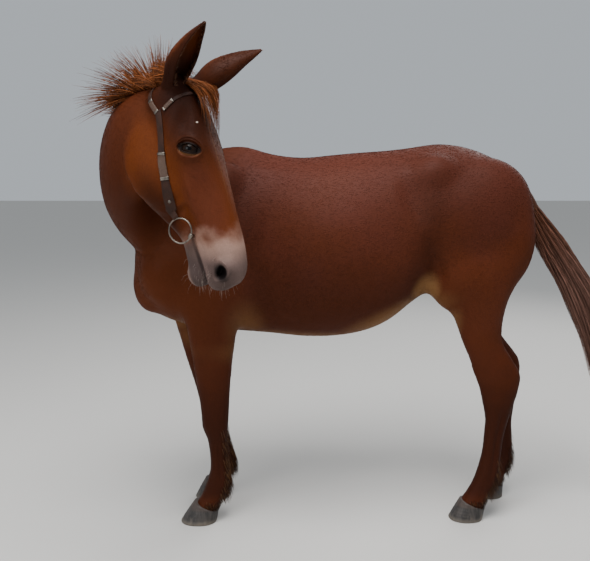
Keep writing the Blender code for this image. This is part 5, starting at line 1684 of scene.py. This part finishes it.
class MULE_OT_hooves(bpy.types.Operator):
    """Make the hooves"""

    bl_idname = "mule.hooves"
    bl_label = "Hooves"

    def execute(self, context):
        sheet = Sheet("horn")
        height = sheet.axis("Z")
        streaks = sheet.noise(1.0, 3.0, sheet.stretched((120.0, 120.0, 14.0)))
        broad = sheet.noise(22.0, 3.0)
        rings = (height * 520.0 + broad * 3.0).sine()
        base = sheet.mix(streaks.ramp(0.3, 0.72), (0.014, 0.012, 0.011), (0.05, 0.042, 0.038))
        base = sheet.mix(height.ramp(0.022, 0.004) * 0.55, base, (0.15, 0.125, 0.098))
        base = sheet.mix(height.ramp(0.052, 0.068) * 0.5, base, (0.07, 0.045, 0.034))
        dust = broad.ramp(0.52, 0.72) * height.ramp(0.045, 0.01)
        base = sheet.mix(dust * 0.45, base, (0.2, 0.16, 0.12))
        sheet.set(Base_Color=base, Roughness=0.5 + streaks * 0.2)
        sheet.bump(rings * 0.25 + streaks * 0.8, 0.0012, 0.7)
        steps = [(0.0, 0.0036), (0.012, 0.0014), (0.04, 0.0)]
        steps += [(step / 12, 0.0) for step in range(1, 12)] + [(0.97, 0.0), (1.0, 0.0022)]
        for name, (_, kind, foot, off, slope) in LIMBS.items():
            low_x, low_half, top_x, top_half, high, low_wide, top_wide = HOOVES[kind]
            top_x += slope * high
            rows = []
            for share, inset in steps:
                x = low_x + (top_x - low_x) * share + off
                wave = 0.0006 * math.sin(share * 34)
                half_x = low_half + (top_half - low_half) * share - inset + wave
                half_y = low_wide + (top_wide - low_wide) * share - inset + wave
                middle = Vector((x, foot, high * share))
                ring = oval(middle, REAR, RIGHT, half_x, half_y, half_y, 2.2, 2.2, 48)
                rows.append([p - UP * ((p.x - x) * CORONET_SLOPE * share) for p in ring])
            piece(loft(rows, "horn_" + name), sheet.material, "hoof_" + name)
        return {"FINISHED"}


def crest_point(share):
    """A point just under the crest of the neck, the way up out of it, across it and along it."""
    frames = neck_frames(101)
    centre, heading, up, across, deep, _ = frames[min(max(int(round(share * 100)), 1), 99)]
    return centre + up * (deep - 0.01), up, across, heading


class MULE_OT_mane(bpy.types.Operator):
    """Make the mane and the forelock"""

    bl_idname = "mule.mane"
    bl_label = "Mane and forelock"

    def execute(self, context):
        look = settings("hair")
        material = hair_material("mane hair", look.mane, shade(look.mane, 0.8), POLL, -REAR, 0.1, 0.4)
        self.fan(material, look)
        self.crest(material, look)
        self.forelock(material, look)
        self.poll_hair(material, look)
        return {"FINISHED"}

    def fan(self, material, look):
        """The tall hair behind the ears, in clumps."""
        chances = np.random.default_rng(41)
        count = look.mane_strands
        share = chances.random(count)
        clump = np.floor(share * 26)
        clump_turn = np.random.default_rng(5).normal(0, 1, (27, 4))[clump.astype(int)]
        start, end = np.array(MANE_ROOTS[0]), np.array(MANE_ROOTS[1] + Vector((0.045, -0.015, 0.01)))
        root = start + (end - start) * share[:, None]
        root[:, 1] += chances.uniform(-0.026, 0.026, count)
        root[:, 0] += chances.uniform(-0.01, 0.01, count)
        angle = np.radians(192 - 112 * share + clump_turn[:, 0] * 7 + chances.normal(0, 8, count))
        reach = (0.19 - 0.03 * share) * chances.uniform(0.35, 1.08, count) + clump_turn[:, 1] * 0.008
        out = clump_turn[:, 2] * 0.1 + chances.normal(0, 0.09, count)
        away = np.stack([np.cos(angle), out, np.sin(angle)], axis=1)
        sweep = np.stack([np.sin(angle), 0 * angle, -np.cos(angle)], axis=1)
        bend = root + (away * 0.5 + sweep * (0.05 + clump_turn[:, 3] * 0.05)[:, None]) * reach[:, None]
        tip = root + away * reach[:, None] + np.stack([0 * angle, 0 * angle, -0.02 * reach / 0.2], axis=1)
        lines = bent(root, bend, tip, 8)
        facing = unit(chances.normal(0, 0.5, (count, 3)) + np.array((0, 1, 0)))
        widths = tapered(count, 8, look.strand * 1.1, chances)
        grow("mane_fan", material, root, lines, widths, facing, chances)

    def crest(self, material, look):
        """The shorter hair along the crest of the neck."""
        chances = np.random.default_rng(43)
        count = look.crest_strands
        share = 0.18 + 0.66 * chances.random(count)
        roots, tips, bends = [], [], []
        for s in share:
            place, up, across, heading = crest_point(s)
            high = 0.03 + 0.062 * s + chances.uniform(-0.012, 0.01)
            lean = -across * chances.uniform(-0.9, 0.35) - heading * chances.uniform(0.1, 0.7)
            place = place + across * chances.uniform(-0.013, 0.013)
            roots.append(place)
            bends.append(place + up * high * 0.6 + lean * high * 0.2)
            tips.append(place + up * high * 0.62 + lean * high)
        roots, bends, tips = (np.array(v) for v in (roots, bends, tips))
        widths = tapered(count, 6, look.strand * 1.2, chances)
        facing = unit(chances.normal(0, 0.6, (count, 3)) + np.array((1, 0, 0)))
        grow("mane_crest", material, roots, bent(roots, bends, tips, 6), widths, facing, chances)

    def forelock(self, material, look):
        """The hair between the ears that falls to the forehead."""
        chances = np.random.default_rng(47)
        roots, tips, bends = [], [], []
        for _ in range(look.forelock_strands):
            q = chances.random() ** 0.8
            side = 0.024 - 0.05 * q + chances.uniform(-0.008, 0.008)
            end = 0.046 - 0.118 * q + chances.uniform(-0.01, 0.01)
            high = min(q / 0.55, 1) * chances.uniform(0.3, 1.0)
            reach = (0.1 + 0.085 * math.sin(math.pi * min(q + 0.15, 1))) * chances.uniform(0.5, 1.08)
            roots.append(on_head(chances.uniform(-0.034, -0.004), 0.04 + 0.01 * chances.random(), side))
            bends.append(on_head(0.026, -0.028 - 0.076 * high, (side + end) / 2))
            tips.append(on_head(reach, 3.4 * end * end - 0.005 - 0.006 * chances.random(), end))
        roots, bends, tips = (np.array(v) for v in (roots, bends, tips))
        count = len(roots)
        widths = tapered(count, 9, look.strand * 0.9, chances)
        facing = unit(chances.normal(0, 0.6, (count, 3)) + np.array(HEAD_OUT))
        lines = bent(roots, bends, tips, 9)
        grow("forelock", material, roots, lines, widths, facing, chances)

    def poll_hair(self, material, look):
        """Hair on the poll, round the feet of the ears."""
        hide = Hide(bpy.data.objects["skin"])
        chances = np.random.default_rng(49)
        ranges = ((-0.075, 0.005), (0.03, 0.15), (-0.045, 0.06))
        seeds = np.array([on_head(*(chances.uniform(*ends) for ends in ranges)) for _ in range(420)])
        roots, normals = hide.settle(seeds + np.array(HEAD_ALONG) * -0.03)
        count = len(roots)
        rear = -np.array(HEAD_OUT)
        away = normals * 0.9 - np.array(HEAD_ALONG) * 0.5 + rear * chances.uniform(-0.2, 1.2, count)[:, None]
        away = unit(away + chances.normal(0, 0.28, (count, 3)))
        reach = chances.uniform(0.035, 0.105, count)[:, None]
        bend = roots + away * reach * 0.6
        tips = roots + away * reach + rear * reach * 0.35 + np.array((0, 0, -0.25)) * reach
        lines = bent(roots - normals * 0.001, bend, tips, 7)
        widths = tapered(count, 7, look.strand, chances)
        facing = unit(chances.normal(0, 1, (count, 3)))
        grow("mane_poll", material, roots, lines, widths, facing, chances)


class MULE_OT_tail(bpy.types.Operator):
    """Make the dock and the hair of the tail"""

    bl_idname = "mule.tail"
    bl_label = "Tail"

    def execute(self, context):
        look = settings("hair")
        rows = np.array(between(TAIL, 101))
        middles = rows[:, :3]
        headings = unit(np.gradient(middles, axis=0))
        across = np.array((0.0, 1.0, 0.0))
        ups = unit(np.cross(headings, across))
        rings = []
        for i in range(0, int(DOCK_REACH * 100), 3):
            taper = 1 if i < 18 else 1 - 0.8 * (i - 18) / (DOCK_REACH * 100 - 18)
            deep, wide = rows[i, 3] * taper * 0.8, rows[i, 4] * taper * 0.8
            rings.append(oval(Vector(middles[i]), Vector(across), Vector(ups[i]), wide, deep, deep))
        root, down = Vector((0.93, 0, 1.33)), Vector((0.55, 0, -0.83))
        material = hair_material("tail hair", look.tail_top, look.tail, root, down, 0.0, 0.45)
        piece(loft(rings, "dock"), material, "tail")
        chances = np.random.default_rng(53)
        count = look.tail_strands
        groups = 40
        group = chances.integers(0, groups, count)
        group_turn = np.random.default_rng(9).random((groups, 4))
        high, near, far = (chances.random(count) for _ in range(3))
        start = np.where(high < 0.55, 0.05 + 0.12 * near, 0.12 + 0.26 * far)
        end = 0.6 + 0.4 * np.sqrt(chances.random(count)) * (0.75 + 0.25 * group_turn[group, 0])
        angle = 2 * math.pi * (group / groups + 0.03 * chances.normal(0, 1, count))
        drift = (group_turn[group, 1] - 0.5) * 1.2 + chances.normal(0, 0.12, count)
        spread = 0.42 + 0.58 * np.sqrt(chances.random(count))
        t = np.linspace(0, 1, 12)[None]
        share = start[:, None] + (end - start)[:, None] * t
        at = share * 100
        x, y, z, deep, wide = (np.interp(at, range(101), column) for column in rows.T)
        place = np.stack([x, y, z], axis=2)
        up = np.stack([np.interp(at, range(101), column) for column in ups.T], axis=2)
        turn = angle[:, None] + drift[:, None] * t
        wave = 1 + 0.1 * np.sin(9 * share + group[:, None] * 1.7) + 0.05 * np.sin(23 * share + count)
        out = np.minimum(0.45 + 1.6 * t, 1) * spread[:, None] * wave
        lines = place + across * (np.cos(turn) * wide * out)[:, :, None]
        lines = lines + up * (np.sin(turn) * deep * out)[:, :, None]
        facing = across * np.cos(angle)[:, None] + ups[20] * np.sin(angle)[:, None]
        facing = unit(facing + chances.normal(0, 0.3, (count, 3)))
        widths = tapered(count, 12, look.strand * 1.35, chances)
        grow("tail_hair", material, lines[:, 0], lines, widths, facing, chances)
        return {"FINISHED"}


class MULE_OT_details(bpy.types.Operator):
    """Make the whiskers, lashes, ear fringes and the hair at the fetlocks"""

    bl_idname = "mule.details"
    bl_label = "Whiskers, lashes and fringes"

    def execute(self, context):
        look = settings("hair")
        hide = Hide(bpy.data.objects["skin"])
        self.whiskers(hide)
        self.lashes()
        self.fringes()
        self.feathers(hide, look)
        return {"FINISHED"}

    def whiskers(self, hide):
        """Long pale hairs on the lips, chin and round the nostrils."""

        def muzzle(points):
            along, deep, _ = head_places(points)
            bare = np.ones(len(points))
            for spot in head_spots(NOSTRIL):
                bare *= np.linalg.norm(points - np.array(spot), axis=1) > 0.034
            return smoothstep(0.5, 0.6, along) * smoothstep(0.08, 0.13, deep) * head_weight(points) * bare

        points, normals, _, chances = hide.sample(61, 4200, muzzle)
        reach = chances.uniform(0.008, 0.034, len(points))[:, None]
        down = np.array(HEAD_ALONG) * 0.8 + np.array((0, 0, -0.5))
        bend = points + normals * reach * 0.5
        tip = points + normals * reach * 0.75 + down * reach * 0.5
        lines = bent(points - normals * 0.001, bend, tip, 6)
        widths = tapered(len(points), 6, 0.00045, chances, 1.0)
        material = toned_material("whisker", (0.06, 0.04, 0.03), (0.34, 0.27, 0.22), 0.4)
        grow("whiskers", material, points, lines, widths, unit(down + 0 * points), chances, 0.5)

    def lashes(self):
        """Lashes on the upper lids."""
        chances = np.random.default_rng(67)
        lines = []
        for side in (-1, 1):
            centre, slit, lift, look = eye_frame(side)
            for angle in np.radians(chances.uniform(25, 158, 70)):
                x, y = slit_edge(angle)
                rise = dome(x, y, EYE_RADIUS + 0.003)
                root = centre + slit * x + lift * y + look * rise
                reach = chances.uniform(0.01, 0.017)
                fan = slit * math.cos(angle) * 0.5 + slit * chances.normal(0, 0.12)
                tip = root + look * reach * 0.75 + fan * reach - lift * reach * 0.1
                mid = root + look * reach * 0.5 + fan * reach * 0.4 - lift * reach * 0.22
                lines.append(bent(*(np.array([p]) for p in (root, mid, tip)), 6)[0])
        lines = np.array(lines)
        widths = tapered(len(lines), 6, 0.0004, chances, 1.0)
        facing = np.tile(np.array(HEAD_ALONG), (len(lines), 1))
        material = toned_material("lash", (0.01, 0.006, 0.005), (0.05, 0.03, 0.02), 0.4)
        grow("lashes", material, lines[:, 0], lines, widths, facing, chances, 0.5)

    def fringes(self):
        """Hair inside the ears and along their edges."""
        chances = np.random.default_rng(71)
        roots, bends, tips = [], [], []
        cup = np.array(between(EAR_CUP, 60))
        for suffix in EARS:
            root, tip, axis, across, front = ear_frame(suffix)
            long = (tip - root).length - EAR_START
            for _ in range(520):
                share, half_width, depth, half_open, lean = cup[int(chances.integers(1, 56))]
                turn = chances.choice((-1, 1)) * (1 - 0.3 * chances.random() ** 1.6)
                angle = math.pi * 1.5 + turn * (math.pi - half_open)
                c, s = math.cos(angle), math.sin(angle)
                base = root + axis * (EAR_START + long * share) + front * lean
                place = base + across * c * (half_width - 0.002) + front * s * (depth - 0.002)
                inward = (base - place).normalized()
                reach = chances.uniform(0.008, 0.022) * (1 - 0.5 * share)
                roots.append(place)
                bends.append(place + axis * reach * 0.5 + inward * reach * 0.35)
                inner = inward * reach * chances.uniform(0.0, 0.7)
                tips.append(place + axis * reach + inner + front * reach * 0.4)
        roots, bends, tips = (np.array(v) for v in (roots, bends, tips))
        count = len(roots)
        widths = tapered(count, 5, 0.0007, chances, 1.0)
        facing = unit(chances.normal(0, 1, (count, 3)))
        material = toned_material("ear hair", (0.06, 0.018, 0.009), (0.19, 0.08, 0.036), 0.5)
        grow("ear_fringes", material, roots, bent(roots, bends, tips, 5), widths, facing, chances, 0.4)

    def feathers(self, hide, look):
        """Longer hair behind the cannons and fetlocks and over the coronets."""

        def lower(points):
            total = np.zeros(len(points))
            for name, (_, kind, *_) in LIMBS.items():
                behind, beside, _ = off_limb(name, points)
                near = np.hypot(behind, beside) < 0.09
                behind = smoothstep(0.015, 0.035, behind)
                top = 0.42 if kind == "fore" else 0.3
                band = smoothstep(0.09, 0.13, points[:, 2]) * smoothstep(top, top - 0.18, points[:, 2])
                coronet = smoothstep(0.1, 0.08, points[:, 2]) * smoothstep(0.045, 0.055, points[:, 2])
                total += near * (behind * band + coronet * 1.2)
            return total + 1e-9

        points, normals, _, chances = hide.sample(73, 60000, lower)
        low = smoothstep(0.12, 0.09, points[:, 2])
        long, short = (chances.uniform(*ends, len(points)) for ends in ((0.016, 0.04), (0.01, 0.017)))
        reach = (long * (1 - low) + short * low)[:, None]
        down = np.array((0.15, 0, -1.0))
        bend = points + normals * reach * 0.28 + down * reach * 0.45
        tip = points + normals * reach * 0.3 + down * reach
        lines = bent(points - normals * 0.001, bend, tip, 5)
        widths = tapered(len(points), 5, 0.0011, chances, 0.8)
        sheet = Sheet("fetlock hair")
        height = sheet.axis("Z")
        # Some strands golden: the hair's own colour and painted backlight
        base = sheet.mix(sheet.attribute("tone") ** 3.0, settings("coat").dark, look.feather)
        base = sheet.tinted(base, 0.75 + height.ramp(0.05, 0.3) * 0.5)
        sheet.set(Base_Color=base, Roughness=0.5, Specular_IOR_Level=0.12)
        grow("fetlock_hair", sheet.material, points, lines, widths, normals, chances)


# Bridle


def strap_line(tree, places, count):
    """Points on the skin nearest a line through head places, with the directions out of it."""
    points, normals = [], []
    for along, deep, out in between(places, count):
        near, normal, _, _ = tree.find_nearest(on_head(along, deep, out))
        points.append(near)
        normals.append(normal)
    for _ in range(6):
        middle = [(a + b * 2 + c).normalized() for a, b, c in zip(normals, normals[1:], normals[2:])]
        normals = [normals[0], *middle, normals[-1]]
        middle = [a * 0.25 + b * 0.5 + c * 0.25 for a, b, c in zip(points, points[1:], points[2:])]
        points = [points[0], *middle, points[-1]]
    return points, normals


def band(points, normals, widths, low, high, name, sides=20):
    """A flat band with rounded edges along points, from low to high above them."""
    last = len(points) - 1
    rings = []
    for i, (point, normal) in enumerate(zip(points, normals)):
        heading = (points[min(i + 1, last)] - points[max(i - 1, 0)]).normalized()
        side = heading.cross(normal).normalized()
        up = side.cross(heading).normalized()
        half = (high - low) / 2
        rings.append(oval(point + up * (low + half), side, up, widths[i] / 2, half, half, 4.5, 4.5, sides))
    return loft(rings, name)


def stretch(places, first, last, count):
    rows = between(places, 81)
    return [tuple(rows[int(round(i))]) for i in np.linspace(first * 80, last * 80, count)]


def mirrored(places):
    left = [(along, deep, -out) for along, deep, out in places]
    return left + [tuple(place) for place in places[-2::-1]]


def leather_material(name):
    look = settings("bridle")
    sheet = Sheet(name)
    broad = sheet.noise(38.0, 4.0)
    grain = sheet.node("TexVoronoi", None, {"Vector": sheet.place, "Scale": 1500.0}).out("Distance")
    scuffs = sheet.noise(210.0, 3.0)
    base = sheet.mix(broad.ramp(0.35, 0.75), look.leather, shade(look.leather, 1.7))
    base = sheet.mix(scuffs.ramp(0.6, 0.8) * 0.5, base, look.edge)
    sheet.set(Base_Color=base, Roughness=0.46 + broad * 0.25, Specular_IOR_Level=0.22)
    sheet.bump(grain * 0.5 + scuffs * 0.5, 0.0006, 0.6)
    return sheet.material


def silver_material():
    look = settings("bridle")
    sheet = Sheet("worn silver")
    broad = sheet.noise(60.0, 3.0)
    fine = sheet.noise(600.0, 2.0)
    base = sheet.mix(broad.ramp(0.4, 0.75) * 0.8, look.silver, shade(look.silver, 0.35))
    sheet.set(Base_Color=base, Metallic=1.0, Roughness=0.24 + broad * 0.16)
    sheet.bump(fine, 0.0002, 0.3)
    return sheet.material


def rawhide_material():
    look = settings("bridle")
    sheet = Sheet("plaited rawhide")
    along = sheet.dot(POLL + MOVE, HEAD_ALONG)
    deep = sheet.dot(POLL + MOVE, HEAD_OUT)
    one, two = ((along + deep * slant) * 1500.0 for slant in (1.1, -1.1))
    weave = one.sine().largest(two.sine()) * 0.5 + 0.5
    dirt = sheet.noise(120.0, 3.0)
    base = sheet.mix(weave.ramp(0.15, 0.75), shade(look.rawhide, 0.45), look.rawhide)
    base = sheet.mix(dirt.ramp(0.5, 0.75) * 0.5, base, shade(look.rawhide, 0.55))
    sheet.set(Base_Color=base, Roughness=0.55)
    sheet.bump(weave, 0.0008, 0.8)
    return sheet.material


def torus(centre, across, up, radius, wire, name, segments=72, sides=14):
    """A round wire bent into a ring in the plane of across and up."""
    out = across.cross(up)
    rings = []
    for i in range(segments):
        angle = 2 * math.pi * i / segments
        away = across * math.cos(angle) + up * math.sin(angle)
        rings.append(oval(centre + away * radius, away, out, wire, wire, wire, sides=sides))
    return loft(rings, name, closed=True)


def tube(points, radii, name="tube", sides=16):
    """A round bar along points, its radius given for each."""
    last = len(points) - 1
    rings = []
    for i, point in enumerate(points):
        heading = (points[min(i + 1, last)] - points[max(i - 1, 0)]).normalized()
        side = heading.cross(HEAD_RIGHT if abs(heading.dot(HEAD_RIGHT)) < 0.9 else HEAD_OUT).normalized()
        rings.append(oval(point, side, heading.cross(side), radii[i], radii[i], radii[i], sides=sides))
    return loft(rings, name)


def ring_place(side):
    """The middle of a bit ring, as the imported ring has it."""
    low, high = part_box("ring_" + ("right" if side > 0 else "left"))
    middle = (Vector(low) + Vector(high)) / 2 - MOVE
    return on_head(*RING_MIDDLE, (middle - POLL).dot(HEAD_RIGHT))


class MULE_OT_bridle(bpy.types.Operator):
    """Make the headstall, its fittings, the rings and the bit"""

    bl_idname = "mule.bridle"
    bl_label = "Bridle"

    def execute(self, context):
        look = settings("bridle")
        tree = Hide(bpy.data.objects["skin"]).tree
        leather, silver, rawhide = leather_material("strap leather"), silver_material(), rawhide_material()
        for side, suffix in ((-1, "left"), (1, "right")):
            ring = ring_place(side)
            made = torus(ring, HEAD_ALONG, HEAD_OUT, look.ring, look.wire, "bit_ring_" + suffix)
            piece(made, silver, "ring_" + suffix)
            cheek = [(along, deep, away * side) for along, deep, away in CHEEKPIECE]
            along, deep, out = CHEEKPIECE_TOP
            points, normals = strap_line(tree, [(along, deep, out * side), *cheek[::-1]], 64)
            loop = ring - HEAD_ALONG * look.ring
            points += [points[-1].lerp(loop, s) for s in (0.35, 0.7, 1.0)]
            normals += [normals[-1].lerp(HEAD_RIGHT * side, s).normalized() for s in (0.35, 0.7, 1.0)]
            widths = np.interp(np.linspace(0, 1, len(points)), CHEEKPIECE_SHARES, CHEEKPIECE_WIDTHS)
            made = band(points, normals, widths, 0.0008, 0.0042, "strap_cheek_" + suffix)
            piece(made, leather, "cheekpiece_" + suffix)
            low, high = KEEPER_SHARES
            points, normals = strap_line(tree, stretch(cheek, low + 0.015, high - 0.015, 7), 60)
            turns = [WRAP_WIDTH + 0.0012 * abs(math.sin(i * math.pi / 4)) for i in range(60)]
            piece(band(points, normals, turns, 0.0002, 0.0064, "wrap", 16), rawhide, "wrap_" + suffix)
            metal = []
            for share in KEEPER_SHARES:
                near, out = strap_line(tree, stretch(cheek, share - 0.01, share + 0.01, 3), 9)
                sizes = [WRAP_WIDTH + w for w in (0, 0.003, 0.003, 0, -0.0006, 0, 0.003, 0.003, 0)]
                metal.append(band(near, out, sizes, 0.0004, 0.0072, "keeper", 20))
            keepers = joined(metal, "keepers_" + suffix)
            piece(keepers, silver, f"keeper_{suffix}_1", f"keeper_{suffix}_2")
            self.stud(tree, cheek, suffix, silver)
            self.branches(tree, side, suffix, silver, rawhide)
        self.headpieces(tree, leather)
        self.bit(silver)
        return {"FINISHED"}

    def stud(self, tree, cheek, suffix, silver):
        """A domed screw through the wide end of the cheekpiece."""
        near, out = strap_line(tree, stretch(cheek, 0.18, 0.22, 3), 3)
        normal = out[1]
        heading = (near[2] - near[0]).normalized()
        place = near[1] + normal * 0.004
        axes = (heading, normal.cross(heading), normal)
        shape = bmesh.new()
        add_ball(shape, place, (0.0056, 0.0056, 0.0024), axes, 24, 12)
        add_ball(shape, place + normal * 0.0006, (0.003, 0.003, 0.0024), axes, 20, 10)
        bmesh.ops.recalc_face_normals(shape, faces=shape.faces)
        piece(from_bmesh("stud_" + suffix, shape), silver)

    def branches(self, tree, side, suffix, silver, rawhide):
        """Short plaited sleeves and keepers on the two branches above the cheekpiece."""
        sleeves, metal = [], []
        for places, first, last, width in ((CROWN, 0.06, 0.27, 0.0165), (BROW, 0.06, 0.26, 0.012)):
            line = [(along, deep, out * side) for along, deep, out in places]
            points, normals = strap_line(tree, stretch(line, first, last, 5), 24)
            sizes = [width * (1.04 + 0.06 * abs(math.sin(i * math.pi / 4))) for i in range(24)]
            sleeves.append(band(points, normals, sizes, 0.0003, 0.0052, "sleeve", 16))
            for share in (first - 0.02, last + 0.02):
                near, out = strap_line(tree, stretch(line, share - 0.018, share + 0.018, 3), 7)
                sizes = [width * w for w in (1.08, 1.2, 1.14, 1.1, 1.14, 1.2, 1.08)]
                metal.append(band(near, out, sizes, 0.0004, 0.0062, "keeper", 20))
        piece(joined(sleeves, "branch_wraps_" + suffix), rawhide)
        piece(joined(metal, "branch_keepers_" + suffix), silver)

    def headpieces(self, tree, leather):
        """The crownpiece behind the ears and the browband in front of them."""
        for places, width, name in ((CROWN, 0.0165, "crownpiece"), (BROW, 0.0105, "browband")):
            points, normals = strap_line(tree, mirrored(places), 90)
            piece(band(points, normals, [width] * 90, 0.0008, 0.0036, "strap_" + name), leather, name)

    def bit(self, silver):
        """The mouthpiece, which tapers to its joint, with a sleeve on each ring."""
        ends = [ring_place(side) for side in (-1, 1)]
        corners = [on_head(*MOUTH_CORNER, (end - POLL).dot(HEAD_RIGHT)) for end in ends]
        shares = np.linspace(0, 1, 21)
        points = [corners[0].lerp(corners[1], s) for s in shares]
        radii = [0.0036 + 0.0024 * min(abs(s - 0.5) * 2.4, 1) for s in shares]
        spoke = (on_head(*MOUTH_CORNER) - on_head(*RING_MIDDLE)).normalized()
        across = spoke.cross(HEAD_RIGHT).normalized()
        parts = [tube(points, radii)]
        for corner in corners:
            places = [corner + across * place for place in (-0.0085, -0.0075, -0.003, 0.003, 0.0075, 0.0085)]
            parts.append(tube(places, (0.005, 0.0068, 0.0074, 0.0074, 0.0068, 0.005)))
        piece(joined(parts, "mouthpiece"), silver, "bit")


class MULE_OT_stage(bpy.types.Operator):
    """Set up the camera, the light and the floor"""

    bl_idname = "mule.stage"
    bl_label = "Stage"

    def execute(self, context):
        look = settings("stage")
        data = bpy.data.cameras.new("camera")
        data.sensor_width = SENSOR_WIDTH
        data.lens = SENSOR_WIDTH * look.focal / PICTURE_WIDTH
        camera = linked("camera", data)
        camera.location = Vector((0, -look.distance, look.height)) + MOVE
        camera.rotation_euler = (math.radians(90) - look.pitch, 0, 0)
        context.scene.camera = camera
        shape = bmesh.new()
        bmesh.ops.create_grid(shape, x_segments=2, y_segments=2, size=30)
        floor = from_bmesh("floor", shape)
        sheet = Sheet("plain floor")
        sheet.set(Base_Color=look.floor, Roughness=0.9, Specular_IOR_Level=0.2)
        floor.data.materials.append(sheet.material)
        for name, (place, size, power) in LIGHTS.items():
            lamp = bpy.data.lights.new(name, "AREA")
            lamp.size = size
            lamp.energy = power
            light = linked(name, lamp)
            light.location = place
            light.rotation_euler = (LIT_POINT - Vector(place)).to_track_quat("-Z", "Y").to_euler()
        world = bpy.data.worlds.new("world")
        world.use_nodes = True
        background = world.node_tree.nodes["Background"]
        background.inputs["Color"].default_value = SKY_COLOUR
        background.inputs["Strength"].default_value = SKY_STRENGTH
        context.scene.world = world
        return {"FINISHED"}


class MULE_PT_panel(bpy.types.Panel):
    """The mule's pieces and settings"""

    bl_idname = "MULE_PT_panel"
    bl_label = "Mule"
    bl_space_type = "VIEW_3D"
    bl_region_type = "UI"
    bl_category = "Mule"

    def draw(self, context):
        for name in ("coat", "hair", "bridle", "stage"):
            box = self.layout.box()
            group = settings(name)
            for field in group.bl_rna.properties:
                if not field.is_hidden and field.identifier not in ("name", "rna_type"):
                    box.prop(group, field.identifier)
        for operator in OPERATORS:
            self.layout.operator(operator.bl_idname)


GROUPS = {
    "coat": MuleCoatSettings,
    "hair": MuleHairSettings,
    "bridle": MuleBridleSettings,
    "stage": MuleStageSettings,
}
OPERATORS = (
    MULE_OT_stage,
    MULE_OT_skin,
    MULE_OT_coat,
    MULE_OT_eyes,
    MULE_OT_hooves,
    MULE_OT_mane,
    MULE_OT_tail,
    MULE_OT_details,
    MULE_OT_bridle,
)


def register():
    for made in (*GROUPS.values(), *OPERATORS, MULE_PT_panel):
        bpy.utils.register_class(made)
    for name, group in GROUPS.items():
        setattr(bpy.types.Scene, "mule_" + name, PointerProperty(type=group))


def unregister():
    for name in GROUPS:
        delattr(bpy.types.Scene, "mule_" + name)
    for made in (MULE_PT_panel, *OPERATORS, *GROUPS.values()):
        bpy.utils.unregister_class(made)


def main():
    register()
    bpy.ops.mule.stage()
    bpy.ops.mule.skin()
    bpy.ops.mule.coat()
    bpy.ops.mule.eyes()
    bpy.ops.mule.hooves()
    bpy.ops.mule.mane()
    bpy.ops.mule.tail()
    bpy.ops.mule.details()
    bpy.ops.mule.bridle()


if __name__ == "__main__":
    main()
